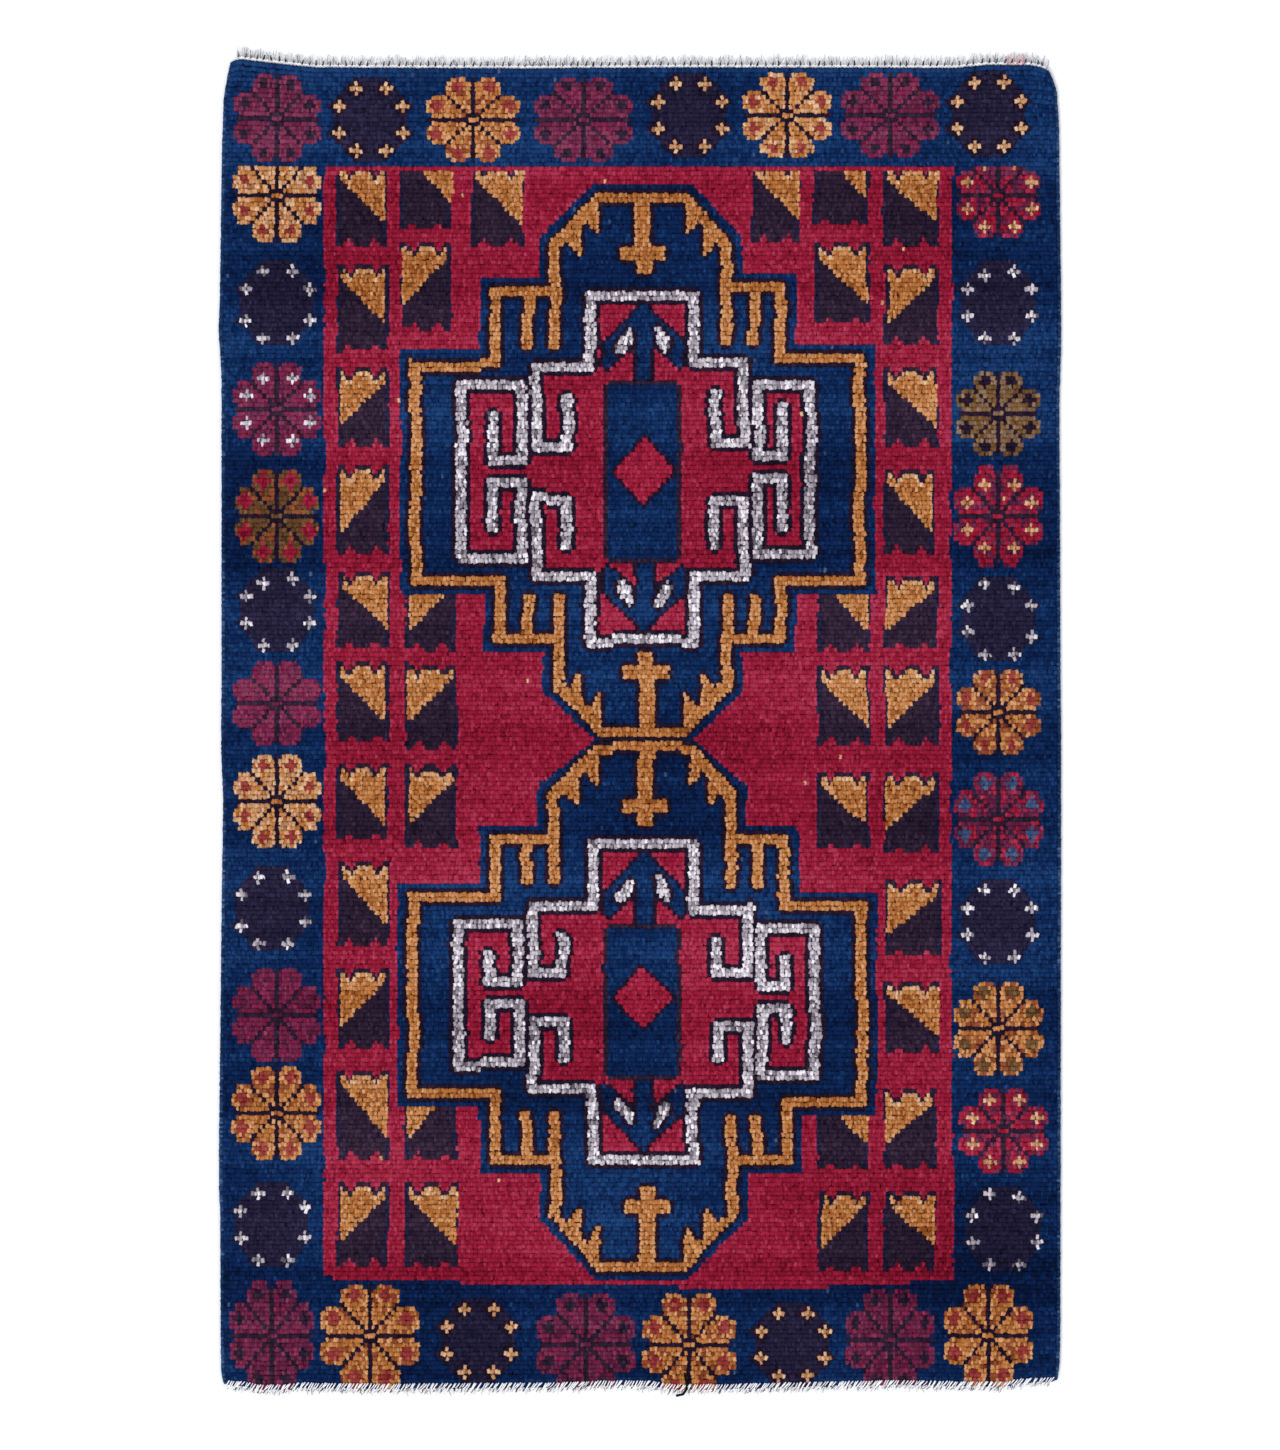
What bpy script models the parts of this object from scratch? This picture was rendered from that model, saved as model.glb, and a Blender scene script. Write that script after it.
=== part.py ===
# Hand-knotted area rug with a flower border and two linked medallions.
# Metres, +Z up, +Y towards the top end of the rug, origin under the middle of the whole rug.
# The pattern is laid out in knots: columns across the width, rows down the length.

import math

import bpy
import bmesh
from mathutils import Vector
from mathutils.geometry import delaunay_2d_cdt

# Overall sizes
rugWidth = 0.84
pileLength = 1.32
topFringeReach = 0.013
bottomFringeReach = 0.008

# Layers
clothThickness = 0.0034
pileHeight = 0.0058
seam = 0.0003

# Knot counts
knotsAcross = 171.0
knotsAlong = 296.0

# Edges
selvedgeDiameter = 0.0060
selvedgeWall = 0.0012
endCordDiameter = 0.0030
fringeThickness = 0.0022
fringeBase = 0.0014
topTufts = 58
bottomTufts = 58
cornerCut = 0.006

# Pattern widths, in knots
borderBand = 21.4
borderRows = 22.2
goldLine = 2.2
ivoryLine = 2.2
edgingWidth = 2.1

wools = {
    "navy": "#12305e",
    "navyDeep": "#0f2a55",
    "crimson": "#961f39",
    "madder": "#a02843",
    "gold": "#b4703a",
    "ivory": "#cbc6cf",
    "plum": "#6f2448",
    "tan": "#8a6246",
    "warp": "#dcdce0",
    "weave": "#b9b4b4",
}

upperRows = {
    "barTop": 28.0, "slopeTop": 39.0, "combTop": 48.5, "teethTop": 63.0, "sideTop": 65.0,
    "sideEnd": 116.2, "teethEnd": 118.3, "combEnd": 129.2, "slopeEnd": 139.0, "barEnd": 149.8,
    "lineTop": 49.6, "shoulderTop": 66.0, "hookTipTop": 72.2, "hookTop": 85.4,
    "hookEnd": 95.5, "hookTipEnd": 108.3, "shoulderEnd": 115.0, "lineEnd": 129.5,
    "boxTop": 70.0, "boxTipTop": 76.0, "boxTurnTop": 88.4,
    "boxTurnEnd": 91.6, "boxTipEnd": 103.8, "boxEnd": 110.8,
    "panelTop": 71.0, "panelEnd": 110.0, "diamondTop": 83.0, "diamondEnd": 97.8,
}

lowerRows = {
    "barTop": 151.5, "slopeTop": 162.2, "combTop": 172.0, "teethTop": 183.8, "sideTop": 186.0,
    "sideEnd": 231.8, "teethEnd": 234.5, "combEnd": 246.0, "slopeEnd": 257.4, "barEnd": 269.8,
    "lineTop": 172.9, "shoulderTop": 187.2, "hookTipTop": 194.2, "hookTop": 203.8,
    "hookEnd": 213.6, "hookTipEnd": 222.7, "shoulderEnd": 230.9, "lineEnd": 245.9,
    "boxTop": 191.5, "boxTipTop": 198.2, "boxTurnTop": 206.7,
    "boxTurnEnd": 210.0, "boxTipEnd": 218.4, "boxEnd": 225.6,
    "panelTop": 192.6, "panelEnd": 225.6, "diamondTop": 202.0, "diamondEnd": 215.5,
}

# Flowers knotted into the border bands: wool, middle column, middle row, half width, half height
flowers = {
    "top": [
        ("plum", 11.6, 11.2, 10.0, 10.0), ("gold", 51.5, 11.3, 9.8, 9.8), ("plum", 74.1, 11.0, 9.8, 9.6),
        ("gold", 115.5, 10.5, 9.6, 9.6), ("plum", 136.8, 10.5, 9.4, 9.5),
    ],
    "bottom": [
        ("plum", 10.9, 284.9, 8.6, 10.6), ("gold", 31.0, 284.9, 9.7, 10.6), ("plum", 74.2, 285.2, 9.6, 10.6),
        ("gold", 95.3, 285.2, 9.1, 10.6), ("plum", 136.3, 284.9, 8.9, 10.6), ("gold", 157.4, 284.9, 8.7, 10.6),
    ],
    "left": [
        ("gold", 11.1, 28.5, 8.6, 10.2), ("crimson", 11.4, 77.2, 8.6, 10.2), ("madder", 11.6, 100.0, 8.6, 11.0),
        ("plum", 11.1, 142.3, 8.6, 9.6), ("gold", 11.1, 164.2, 8.6, 10.6), ("crimson", 11.2, 212.4, 8.6, 10.7),
        ("gold", 11.2, 234.2, 8.8, 10.8),
    ],
    "right": [
        ("crimson", 159.2, 28.4, 8.5, 10.2), ("tan", 159.2, 77.0, 8.5, 9.5), ("crimson", 159.2, 100.8, 8.5, 11.0),
        ("gold", 159.2, 145.2, 8.5, 9.8), ("crimson", 159.3, 168.2, 8.5, 10.0), ("gold", 159.4, 215.6, 8.6, 10.5),
        ("crimson", 159.6, 238.2, 8.6, 9.6),
    ],
}

# One quarter of a flower's eight petals, from the slit at its tip round to the next slit
petals = [
    (0.0, 0.80), (0.10, 1.0), (0.45, 1.0), (0.57, 0.84),
    (0.57, 0.57), (0.84, 0.57), (1.0, 0.45), (1.0, 0.10),
]
flowerMargin = 0.8

knotWidth = rugWidth / knotsAcross
knotHeight = pileLength / knotsAlong
pileMiddleY = (bottomFringeReach - topFringeReach) / 2
pileTopY = pileMiddleY + pileLength / 2
pileEndY = pileMiddleY - pileLength / 2
clothSide = rugWidth / 2 - selvedgeDiameter - seam
pileBase = clothThickness + seam
pileTop = pileBase + pileHeight


def clearScene():
    for item in list(bpy.data.objects):
        bpy.data.objects.remove(item, do_unlink=True)
    for item in list(bpy.data.collections):
        bpy.data.collections.remove(item)


def linearColour(text):
    channels = []
    for start in (1, 3, 5):
        value = int(text[start:start + 2], 16) / 255
        if value <= 0.04045:
            channels.append(value / 12.92)
        else:
            channels.append(((value + 0.055) / 1.055) ** 2.4)
    return (channels[0], channels[1], channels[2], 1.0)


def wool(name, tint, rough=0.9):
    material = bpy.data.materials.new(name)
    material.use_nodes = True
    shader = material.node_tree.nodes["Principled BSDF"]
    shader.inputs["Base Color"].default_value = linearColour(wools[tint])
    shader.inputs["Roughness"].default_value = rough
    return material


def place(across, row):
    return (across * knotWidth, pileTopY - row * knotHeight)


def mirrored(half):
    # A half outline read from the top of the rug down, closed by its own reflection.
    left = [place(-across, row) for across, row in half]
    right = [place(across, row) for across, row in reversed(half)]
    return left + right


def area(points):
    total = 0.0
    for index, point in enumerate(points):
        following = points[(index + 1) % len(points)]
        total += point[0] * following[1] - following[0] * point[1]
    return total / 2


def grown(points, distance):
    # Moves every edge outwards by the distance; a negative distance shrinks the outline.
    if area(points) < 0:
        points = points[::-1]
    moved = []
    count = len(points)
    for index in range(count):
        before = points[index - 1]
        here = points[index]
        after = points[(index + 1) % count]
        first = (here[0] - before[0], here[1] - before[1])
        second = (after[0] - here[0], after[1] - here[1])
        firstSize = math.hypot(first[0], first[1])
        secondSize = math.hypot(second[0], second[1])
        normalA = (first[1] / firstSize, -first[0] / firstSize)
        normalB = (second[1] / secondSize, -second[0] / secondSize)
        share = 1 + normalA[0] * normalB[0] + normalA[1] * normalB[1]
        moved.append((here[0] + distance * (normalA[0] + normalB[0]) / share,
                      here[1] + distance * (normalA[1] + normalB[1]) / share))
    return moved


def slab(name, outlines, low, high, material, home, turned=False):
    # Fills the first outline, less the ones inside it, and gives it thickness from low to high.
    # turned lays the outline in the XZ plane, so low and high are measured along Y.
    points = []
    loops = []
    for outline in outlines:
        loops.append(list(range(len(points), len(points) + len(outline))))
        points += [Vector(point) for point in outline]
    cells = delaunay_2d_cdt(points, [], loops, 2, 1e-7)[2]
    work = bmesh.new()
    levels = []
    for level in (low, high):
        if turned:
            levels.append([work.verts.new((point.x, level, point.y)) for point in points])
        else:
            levels.append([work.verts.new((point.x, point.y, level)) for point in points])
    for cell in cells:
        for level in levels:
            work.faces.new([level[index] for index in cell])
    for loop in loops:
        for index, following in zip(loop, loop[1:] + loop[:1]):
            work.faces.new([levels[0][index], levels[0][following], levels[1][following], levels[1][index]])
    bmesh.ops.recalc_face_normals(work, faces=work.faces)
    mesh = bpy.data.meshes.new(name)
    work.to_mesh(mesh)
    work.free()
    mesh.materials.append(material)
    solid = bpy.data.objects.new(name, mesh)
    home.objects.link(solid)
    return solid


def pileArea(name, outer, holes, material, home):
    outlines = [grown(outer, -seam / 2)]
    for hole in holes:
        outlines.append(grown(hole, seam / 2))
    return slab(name, outlines, pileBase, pileTop, material, home)


def circle(centre, radius, steps):
    points = []
    for step in range(steps):
        turn = 2 * math.pi * step / steps
        points.append((centre[0] + radius * math.cos(turn), centre[1] + radius * math.sin(turn)))
    return points


def flower(column, row, wide, tall, limits):
    # Eight petals round one middle, cut straight where the flower runs into the edge of its band.
    lowColumn, highColumn, lowRow, highRow = limits
    points = []
    for quarter in range(4):
        for across, up in petals:
            for turn in range(quarter):
                across, up = up, -across
            at = column + across * wide
            down = row - up * tall
            at = min(max(at, lowColumn + flowerMargin), highColumn - flowerMargin)
            down = min(max(down, lowRow + flowerMargin), highRow - flowerMargin)
            if not points or math.dist(points[-1], (at, down)) > 0.01:
                points.append((at, down))
    if math.dist(points[-1], points[0]) < 0.01:
        points.pop()
    return [place(at - knotsAcross / 2, down) for at, down in points]


def goldOuter(rows):
    return [
        (9.0, rows["barTop"]), (18.5, rows["slopeTop"]), (18.5, rows["combTop"]),
        (30.0, rows["combTop"]), (30.0, rows["sideTop"]), (46.2, rows["sideTop"]),
        (46.2, rows["sideEnd"]), (30.0, rows["sideEnd"]), (30.0, rows["combEnd"]),
        (18.5, rows["combEnd"]), (18.5, rows["slopeEnd"]), (9.0, rows["barEnd"]),
    ]


def goldInner(rows):
    # Inner edge of the gold line with its stem and cross, its two hooks and its comb teeth.
    line = goldLine
    top = rows["barTop"]
    end = rows["barEnd"]
    combTop = rows["combTop"] + line
    combEnd = rows["combEnd"] - line
    sideTop = rows["sideTop"] + line
    sideEnd = rows["sideEnd"] - line
    teethTop = rows["teethTop"]
    teethEnd = rows["teethEnd"]
    return [
        (1.4, top + 18.2), (1.4, top + 14.8), (4.4, top + 14.8), (4.4, top + 12.0), (1.4, top + 12.0),
        (1.4, top + line), (8.6, top + line), (8.6, top + 9.2), (11.2, top + 5.9),
        (12.2, top + 7.1), (12.2, top + 13.8), (15.0, top + 10.5), (18.5 - line, top + 11.9),
        (18.5 - line, teethTop), (18.5, teethTop), (18.5, combTop), (22.0, combTop),
        (22.0, teethTop), (22.0 + line, teethTop), (22.0 + line, combTop),
        (30.0 - line, combTop), (30.0 - line, sideTop), (46.2 - line, sideTop),
        (46.2 - line, sideEnd), (30.0 - line, sideEnd), (30.0 - line, combEnd),
        (22.0 + line, combEnd), (22.0 + line, teethEnd), (22.0, teethEnd), (22.0, combEnd),
        (18.5, combEnd), (18.5, teethEnd), (18.5 - line, teethEnd), (18.5 - line, end - 11.9),
        (15.0, end - 10.5), (12.2, end - 13.8), (12.2, end - 7.1), (11.2, end - 5.9),
        (8.6, end - 9.2), (8.6, end - line), (1.4, end - line),
        (1.4, end - 12.2), (4.4, end - 12.2), (4.4, end - 15.2), (1.4, end - 15.2), (1.4, end - 18.2),
    ]


def edgingOuter():
    wide = edgingWidth
    half = []
    for rows in (upperRows, lowerRows):
        half += [
            (18.5 + wide, rows["slopeTop"] - 1.1), (18.5 + wide, rows["combTop"] - wide),
            (30.0 + wide, rows["combTop"] - wide), (30.0 + wide, rows["sideTop"] - wide),
            (46.2 + wide, rows["sideTop"] - wide), (46.2 + wide, rows["sideEnd"] + wide),
            (30.0 + wide, rows["sideEnd"] + wide), (30.0 + wide, rows["combEnd"] + wide),
            (18.5 + wide, rows["combEnd"] + wide), (18.5 + wide, rows["slopeEnd"] + 1.1),
        ]
        if rows is upperRows:
            waist = (rows["barEnd"] + lowerRows["barTop"]) / 2
            half.append((9.9, waist))
    start = (10.0, upperRows["barTop"] - wide)
    finish = (10.0, lowerRows["barEnd"] + wide)
    return [start] + half + [finish]


def silhouette(rows):
    return [
        (11.6, rows["lineTop"]), (11.6, rows["shoulderTop"]), (22.4, rows["shoulderTop"]),
        (22.4, rows["boxTop"]), (36.5, rows["boxTop"]), (36.5, rows["boxEnd"]),
        (22.4, rows["boxEnd"]), (22.4, rows["shoulderEnd"]), (11.6, rows["shoulderEnd"]),
        (11.6, rows["lineEnd"]),
    ]


def ivoryCrown(start, shoulder, tip, hook, line):
    # One end of the heart's ivory line: bar, shoulders and two inward hooks.
    return [
        (11.6, start), (11.6, shoulder), (22.4, shoulder), (22.4, hook), (14.0, hook),
        (14.0, tip), (14.0 + ivoryLine, tip), (14.0 + ivoryLine, hook - line),
        (22.4 - ivoryLine, hook - line), (22.4 - ivoryLine, shoulder + line),
        (11.6 - ivoryLine, shoulder + line), (11.6 - ivoryLine, start + line),
    ]


def ivoryBox(rows, side):
    # Squared scroll at one side of the heart, closed by a hook above and a hook below.
    line = ivoryLine
    near = 22.4
    far = 36.5
    hook = 30.5
    half = [
        (far, rows["boxTop"]), (far, rows["boxEnd"]), (near, rows["boxEnd"]),
        (near, rows["boxTurnEnd"]), (hook, rows["boxTurnEnd"]), (hook, rows["boxTipEnd"]),
        (hook - line, rows["boxTipEnd"]), (hook - line, rows["boxTurnEnd"] + line),
        (near + line, rows["boxTurnEnd"] + line), (near + line, rows["boxEnd"] - line),
        (far - line, rows["boxEnd"] - line), (far - line, rows["boxTop"] + line),
        (near + line, rows["boxTop"] + line), (near + line, rows["boxTurnTop"] - line),
        (hook - line, rows["boxTurnTop"] - line), (hook - line, rows["boxTipTop"]),
        (hook, rows["boxTipTop"]), (hook, rows["boxTurnTop"]), (near, rows["boxTurnTop"]),
        (near, rows["boxTop"]),
    ]
    return [place(side * across, row) for across, row in half]


def heartOuter(rows):
    line = ivoryLine
    crownTop = ivoryCrown(rows["lineTop"], rows["shoulderTop"], rows["hookTipTop"], rows["hookTop"], line)
    crownEnd = ivoryCrown(rows["lineEnd"], rows["shoulderEnd"], rows["hookTipEnd"], rows["hookEnd"], -line)
    near = 22.4
    far = 36.5 - line
    hook = 30.5
    scroll = [
        (near, rows["boxTurnTop"]), (hook, rows["boxTurnTop"]), (hook, rows["boxTipTop"]),
        (hook - line, rows["boxTipTop"]), (hook - line, rows["boxTurnTop"] - line),
        (near + line, rows["boxTurnTop"] - line), (near + line, rows["boxTop"] + line),
        (far, rows["boxTop"] + line), (far, rows["boxEnd"] - line),
        (near + line, rows["boxEnd"] - line), (near + line, rows["boxTurnEnd"] + line),
        (hook - line, rows["boxTurnEnd"] + line), (hook - line, rows["boxTipEnd"]),
        (hook, rows["boxTipEnd"]), (hook, rows["boxTurnEnd"]), (near, rows["boxTurnEnd"]),
    ]
    above = crownTop[:2:-1]
    below = crownEnd[3:]
    return above + scroll + below


def fringe(name, count, reach, rootY, outward, material, home):
    # Comb of cut warp ends standing out from a narrow base; the middle tufts are the longest.
    length = reach - endCordDiameter - 2 * seam
    side = clothSide - cornerCut
    pitch = 2 * side / count
    points = [(-side, rootY), (-side, rootY + outward * fringeBase)]
    for tuft in range(count):
        left = -side + tuft * pitch
        sway = 0.9 + 0.1 * math.cos(1.7 * tuft)
        if tuft == count // 2:
            sway = 1.0
        tip = rootY + outward * length * sway
        base = rootY + outward * fringeBase
        points.append((left + 0.12 * pitch, base))
        points.append((left + 0.26 * pitch, tip))
        points.append((left + 0.74 * pitch, tip))
        points.append((left + 0.88 * pitch, base))
    points.append((side, rootY + outward * fringeBase))
    points.append((side, rootY))
    return slab(name, [points], 0.0, fringeThickness, material, home)


clearScene()
rug = bpy.data.collections.new("area_rug")
bpy.context.scene.collection.children.link(rug)

# Ground cloth: warps and wefts woven into one flat cloth under all of the pile
clothOutline = [
    (-clothSide + cornerCut, pileTopY), (-clothSide, pileTopY - cornerCut),
    (-clothSide, pileEndY + cornerCut), (-clothSide + cornerCut, pileEndY),
    (clothSide - cornerCut, pileEndY), (clothSide, pileEndY + cornerCut),
    (clothSide, pileTopY - cornerCut), (clothSide - cornerCut, pileTopY),
]
slab("ground_cloth", [clothOutline], 0.0, clothThickness, wool("groundWeave", "weave"), rug)

# Selvedges: a warp core inside a sleeve of overcast navy wool, one at each side
for side, place_name in ((-1, "left"), (1, "right")):
    centre = (side * (rugWidth / 2 - selvedgeDiameter / 2), selvedgeDiameter / 2)
    coreRadius = selvedgeDiameter / 2 - selvedgeWall - seam
    low = pileEndY + cornerCut / 2
    high = pileTopY - cornerCut / 2
    slab("selvedge_core_" + place_name, [circle(centre, coreRadius, 20)], low, high,
         wool("coreWarp" + place_name.title(), "warp"), rug, turned=True)
    sleeve = [circle(centre, selvedgeDiameter / 2, 32), circle(centre, selvedgeDiameter / 2 - selvedgeWall, 32)]
    slab("selvedge_wrap_" + place_name, sleeve, low, high,
         wool("wrapWool" + place_name.title(), "navyDeep"), rug, turned=True)

# End finishes: a twined cord locks the last row, then the cut warps stand out as fringe
for outward, place_name, edgeY, reach, count in (
        (1, "top", pileTopY, topFringeReach, topTufts),
        (-1, "bottom", pileEndY, bottomFringeReach, bottomTufts)):
    cordY = edgeY + outward * (seam + endCordDiameter / 2)
    cordHalf = clothSide - cornerCut
    cord = slab("twined_cord_" + place_name,
                [circle((0.0, endCordDiameter / 2), endCordDiameter / 2, 16)],
                -cordHalf, cordHalf, wool("cordWool" + place_name.title(), "warp"), rug, turned=True)
    for vertex in cord.data.vertices:
        x, y, z = vertex.co
        vertex.co = (y, cordY - x, z)
    rootY = edgeY + outward * (2 * seam + endCordDiameter)
    fringe("warp_fringe_" + place_name, count, reach, rootY, outward,
           wool("fringeWarp" + place_name.title(), "warp"), rug)

# Border pile: four navy bands that carry the knotted flowers
bandSide = clothSide - borderBand * knotWidth + selvedgeDiameter + seam
fieldTopY = pileTopY - borderRows * knotHeight
fieldEndY = pileEndY + borderRows * knotHeight
topBand = [
    (-clothSide + cornerCut, pileTopY), (-clothSide, pileTopY - cornerCut), (-clothSide, fieldTopY),
    (clothSide, fieldTopY), (clothSide, pileTopY - cornerCut), (clothSide - cornerCut, pileTopY),
]
endBand = [
    (-clothSide, fieldEndY), (-clothSide, pileEndY + cornerCut), (-clothSide + cornerCut, pileEndY),
    (clothSide - cornerCut, pileEndY), (clothSide, pileEndY + cornerCut), (clothSide, fieldEndY),
]
leftBand = [(-clothSide, fieldTopY), (-clothSide, fieldEndY), (-bandSide, fieldEndY), (-bandSide, fieldTopY)]
rightBand = [(bandSide, fieldTopY), (bandSide, fieldEndY), (clothSide, fieldEndY), (clothSide, fieldTopY)]
bandEnd = knotsAcross - borderBand
rowsEnd = knotsAlong - borderRows
clothColumn = (selvedgeDiameter + seam) / knotWidth
bands = {
    "top": (topBand, (clothColumn, knotsAcross - clothColumn, 0.0, borderRows)),
    "bottom": (endBand, (clothColumn, knotsAcross - clothColumn, rowsEnd, knotsAlong)),
    "left": (leftBand, (clothColumn, borderBand, borderRows, rowsEnd)),
    "right": (rightBand, (bandEnd, knotsAcross - clothColumn, borderRows, rowsEnd)),
}
for label, (band, limits) in bands.items():
    title = label.title()
    outlines = [flower(*entry[1:], limits) for entry in flowers[label]]
    pileArea("border_pile_" + label, band, outlines, wool("borderWool" + title, "navy"), rug)
    for number, entry in enumerate(flowers[label]):
        pileArea("flower_%s_%d" % (label, number + 1), outlines[number], [],
                 wool("flowerWool%s%d" % (title, number + 1), entry[0]), rug)

# Field pile and the navy edging that links both medallions at the waist
fieldOutline = [(-bandSide, fieldTopY), (-bandSide, fieldEndY), (bandSide, fieldEndY), (bandSide, fieldTopY)]
edging = mirrored(edgingOuter())
upperGold = mirrored(goldOuter(upperRows))
lowerGold = mirrored(goldOuter(lowerRows))
pileArea("field_pile", fieldOutline, [edging], wool("fieldWool", "crimson"), rug)
pileArea("medallion_edging", edging, [upperGold, lowerGold], wool("edgingWool", "navyDeep"), rug)

# The two medallions, from the gold line inwards
for label, rows in (("upper", upperRows), ("lower", lowerRows)):
    title = label.title()
    inner = mirrored(goldInner(rows))
    heart = mirrored(heartOuter(rows))
    hearthole = mirrored(silhouette(rows))
    crownTop = mirrored(ivoryCrown(rows["lineTop"], rows["shoulderTop"], rows["hookTipTop"],
                                   rows["hookTop"], ivoryLine))
    crownEnd = mirrored(ivoryCrown(rows["lineEnd"], rows["shoulderEnd"], rows["hookTipEnd"],
                                   rows["hookEnd"], -ivoryLine))
    panel = mirrored([(7.0, rows["panelTop"]), (7.0, rows["panelEnd"])])
    middle = (rows["diamondTop"] + rows["diamondEnd"]) / 2
    diamond = [place(0, rows["diamondTop"]), place(-5.9, middle), place(0, rows["diamondEnd"]),
               place(5.9, middle)]
    pileArea("gold_line_" + label, mirrored(goldOuter(rows)), [inner],
             wool("goldWool" + title, "gold"), rug)
    pileArea("medallion_ground_" + label, inner, [hearthole], wool("groundWool" + title, "navy"), rug)
    pileArea("ivory_crown_top_" + label, crownTop, [], wool("ivoryWoolTop" + title, "ivory"), rug)
    pileArea("ivory_crown_bottom_" + label, crownEnd, [], wool("ivoryWoolEnd" + title, "ivory"), rug)
    pileArea("ivory_scroll_left_" + label, ivoryBox(rows, -1), [], wool("ivoryWoolLeft" + title, "ivory"), rug)
    pileArea("ivory_scroll_right_" + label, ivoryBox(rows, 1), [], wool("ivoryWoolRight" + title, "ivory"), rug)
    pileArea("heart_" + label, heart, [panel], wool("heartWool" + title, "madder"), rug)
    pileArea("centre_panel_" + label, panel, [diamond], wool("panelWool" + title, "navyDeep"), rug)
    pileArea("diamond_" + label, diamond, [], wool("diamondWool" + title, "madder"), rug)
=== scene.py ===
# Looks of the hand-knotted area rug: every knot is a tuft of wool, tied in rows over a woven ground.
import math
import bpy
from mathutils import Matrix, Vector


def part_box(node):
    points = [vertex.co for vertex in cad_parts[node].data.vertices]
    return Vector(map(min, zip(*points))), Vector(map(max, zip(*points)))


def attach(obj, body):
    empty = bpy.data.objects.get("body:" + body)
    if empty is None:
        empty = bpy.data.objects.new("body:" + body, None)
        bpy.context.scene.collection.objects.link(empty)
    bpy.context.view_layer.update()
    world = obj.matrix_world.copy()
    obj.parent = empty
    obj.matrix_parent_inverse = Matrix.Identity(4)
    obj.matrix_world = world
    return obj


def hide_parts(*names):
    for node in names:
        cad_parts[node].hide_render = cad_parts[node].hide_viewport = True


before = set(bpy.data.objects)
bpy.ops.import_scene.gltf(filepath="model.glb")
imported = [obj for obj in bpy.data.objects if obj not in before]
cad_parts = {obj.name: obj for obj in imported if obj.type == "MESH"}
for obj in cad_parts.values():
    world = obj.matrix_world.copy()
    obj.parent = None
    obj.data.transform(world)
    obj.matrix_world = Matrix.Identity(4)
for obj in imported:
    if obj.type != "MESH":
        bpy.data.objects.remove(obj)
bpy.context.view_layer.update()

from types import SimpleNamespace

import bpy
import numpy as np

# The lattice the rug is knotted on: columns run across, rows run down from the top end
knots = {"across": 171, "along": 296, "firstColumn": 1, "lastColumn": 169}

clothLow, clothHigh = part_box("ground_cloth")
wrapLow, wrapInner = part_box("selvedge_wrap_left")
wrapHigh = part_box("selvedge_wrap_right")[1]
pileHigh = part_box("field_pile")[1]
knotWidth = (wrapHigh[0] - wrapLow[0]) / knots["across"]
knotHeight = (clothHigh[1] - clothLow[1]) / knots["along"]
topY = clothHigh[1]


def linearColour(text):
    channels = [int(text[start:start + 2], 16) / 255 for start in (1, 3, 5)]
    channels = [c / 12.92 if c <= 0.04045 else ((c + 0.055) / 1.055) ** 2.4 for c in channels]
    return (*channels, 1.0)


def addNode(tree, kind, inputs=None, **settings):
    node = tree.nodes.new(kind)
    for key, value in settings.items():
        setattr(node, key, value)
    for key, value in (inputs or {}).items():
        if isinstance(value, bpy.types.NodeSocket):
            tree.links.new(value, node.inputs[key])
        else:
            node.inputs[key].default_value = value
    return node


def maths(tree, operation, *values):
    return addNode(tree, "ShaderNodeMath", dict(enumerate(values)), operation=operation).outputs["Value"]


def vectorOf(tree, operation, vector, other):
    # A scale takes its factor in the socket of that name
    inputs = {0: vector, "Scale" if operation == "SCALE" else 1: other}
    return addNode(tree, "ShaderNodeVectorMath", inputs, operation=operation).outputs["Vector"]


def ranged(tree, value, fromMin, fromMax, toMin, toMax, kind="LINEAR"):
    limits = {"Value": value, "From Min": fromMin, "From Max": fromMax, "To Min": toMin, "To Max": toMax}
    return addNode(tree, "ShaderNodeMapRange", limits, interpolation_type=kind).outputs["Result"]


def newMaterial(name):
    material = bpy.data.materials.new(name)
    material.use_nodes = True
    return material, material.node_tree, material.node_tree.nodes["Principled BSDF"]


def newObject(name, data, material=None):
    if material:
        data.materials.append(material)
    item = bpy.data.objects.new(name, data)
    bpy.context.scene.collection.objects.link(item)
    return item


# Each yarn: deep, usual and light shade of the hand-dyed wool; how far a dye lot shifts it; how tall it stands,
# since dark dyes bite the wool and those knots wear lower; how coarse it is spun; and how much painted highlight
# lightens its outer cut end where two wools meet along a row, for light caught by the edge of the raised area
wools = {
    "navy": ("#031132", "#0a2551", "#1c4073", 1.25, 0.95, 0, 0),
    "crimson": ("#61061c", "#921934", "#b13b56", 0.8, 0.96, 0, 0.08),
    "gold": ("#7f4319", "#b1703b", "#cd9769", 0.6, 1.0, 0.25, 0.22),
    "ivory": ("#5a535c", "#b0a7af", "#efe9ee", 0.5, 1.02, 0.45, 0),
    "aubergine": ("#150c1e", "#2b1d30", "#443044", 0.7, 0.94, 0, 0),
    "plum": ("#370b25", "#60203d", "#833b59", 1.0, 0.95, 0, 0.12),
    "shadow": ("#0e0a1a", "#21152a", "#3b2436", 0.5, 0.88, 0, 0),
    "paleGold": ("#8b5a3a", "#bb8962", "#dbb48d", 0.5, 1.0, 0.25, 0.18),
    "lightBlue": ("#152a4f", "#394d71", "#6a6e8a", 0.5, 0.97, 0, 0),
    "tan": ("#462f24", "#6e523f", "#90765e", 0.8, 0.96, 0, 0.15),
    "olive": ("#3c2616", "#66462a", "#8a6a44", 0.8, 0.94, 0, 0),
    "madder": ("#6c061e", "#9a1d39", "#b63e56", 0.6, 0.96, 0, 0),
    "rust": ("#5e2416", "#8c4a2c", "#b0744e", 0.6, 0.97, 0, 0),
    "brick": ("#64181a", "#8f3733", "#af5950", 0.6, 0.96, 0, 0),
    "indigo": ("#100e23", "#211d36", "#352e4d", 0.8, 0.94, 0, 0),
    "rose": ("#4d0e28", "#772144", "#913f5c", 0.8, 0.96, 0, 0),
}
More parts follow.
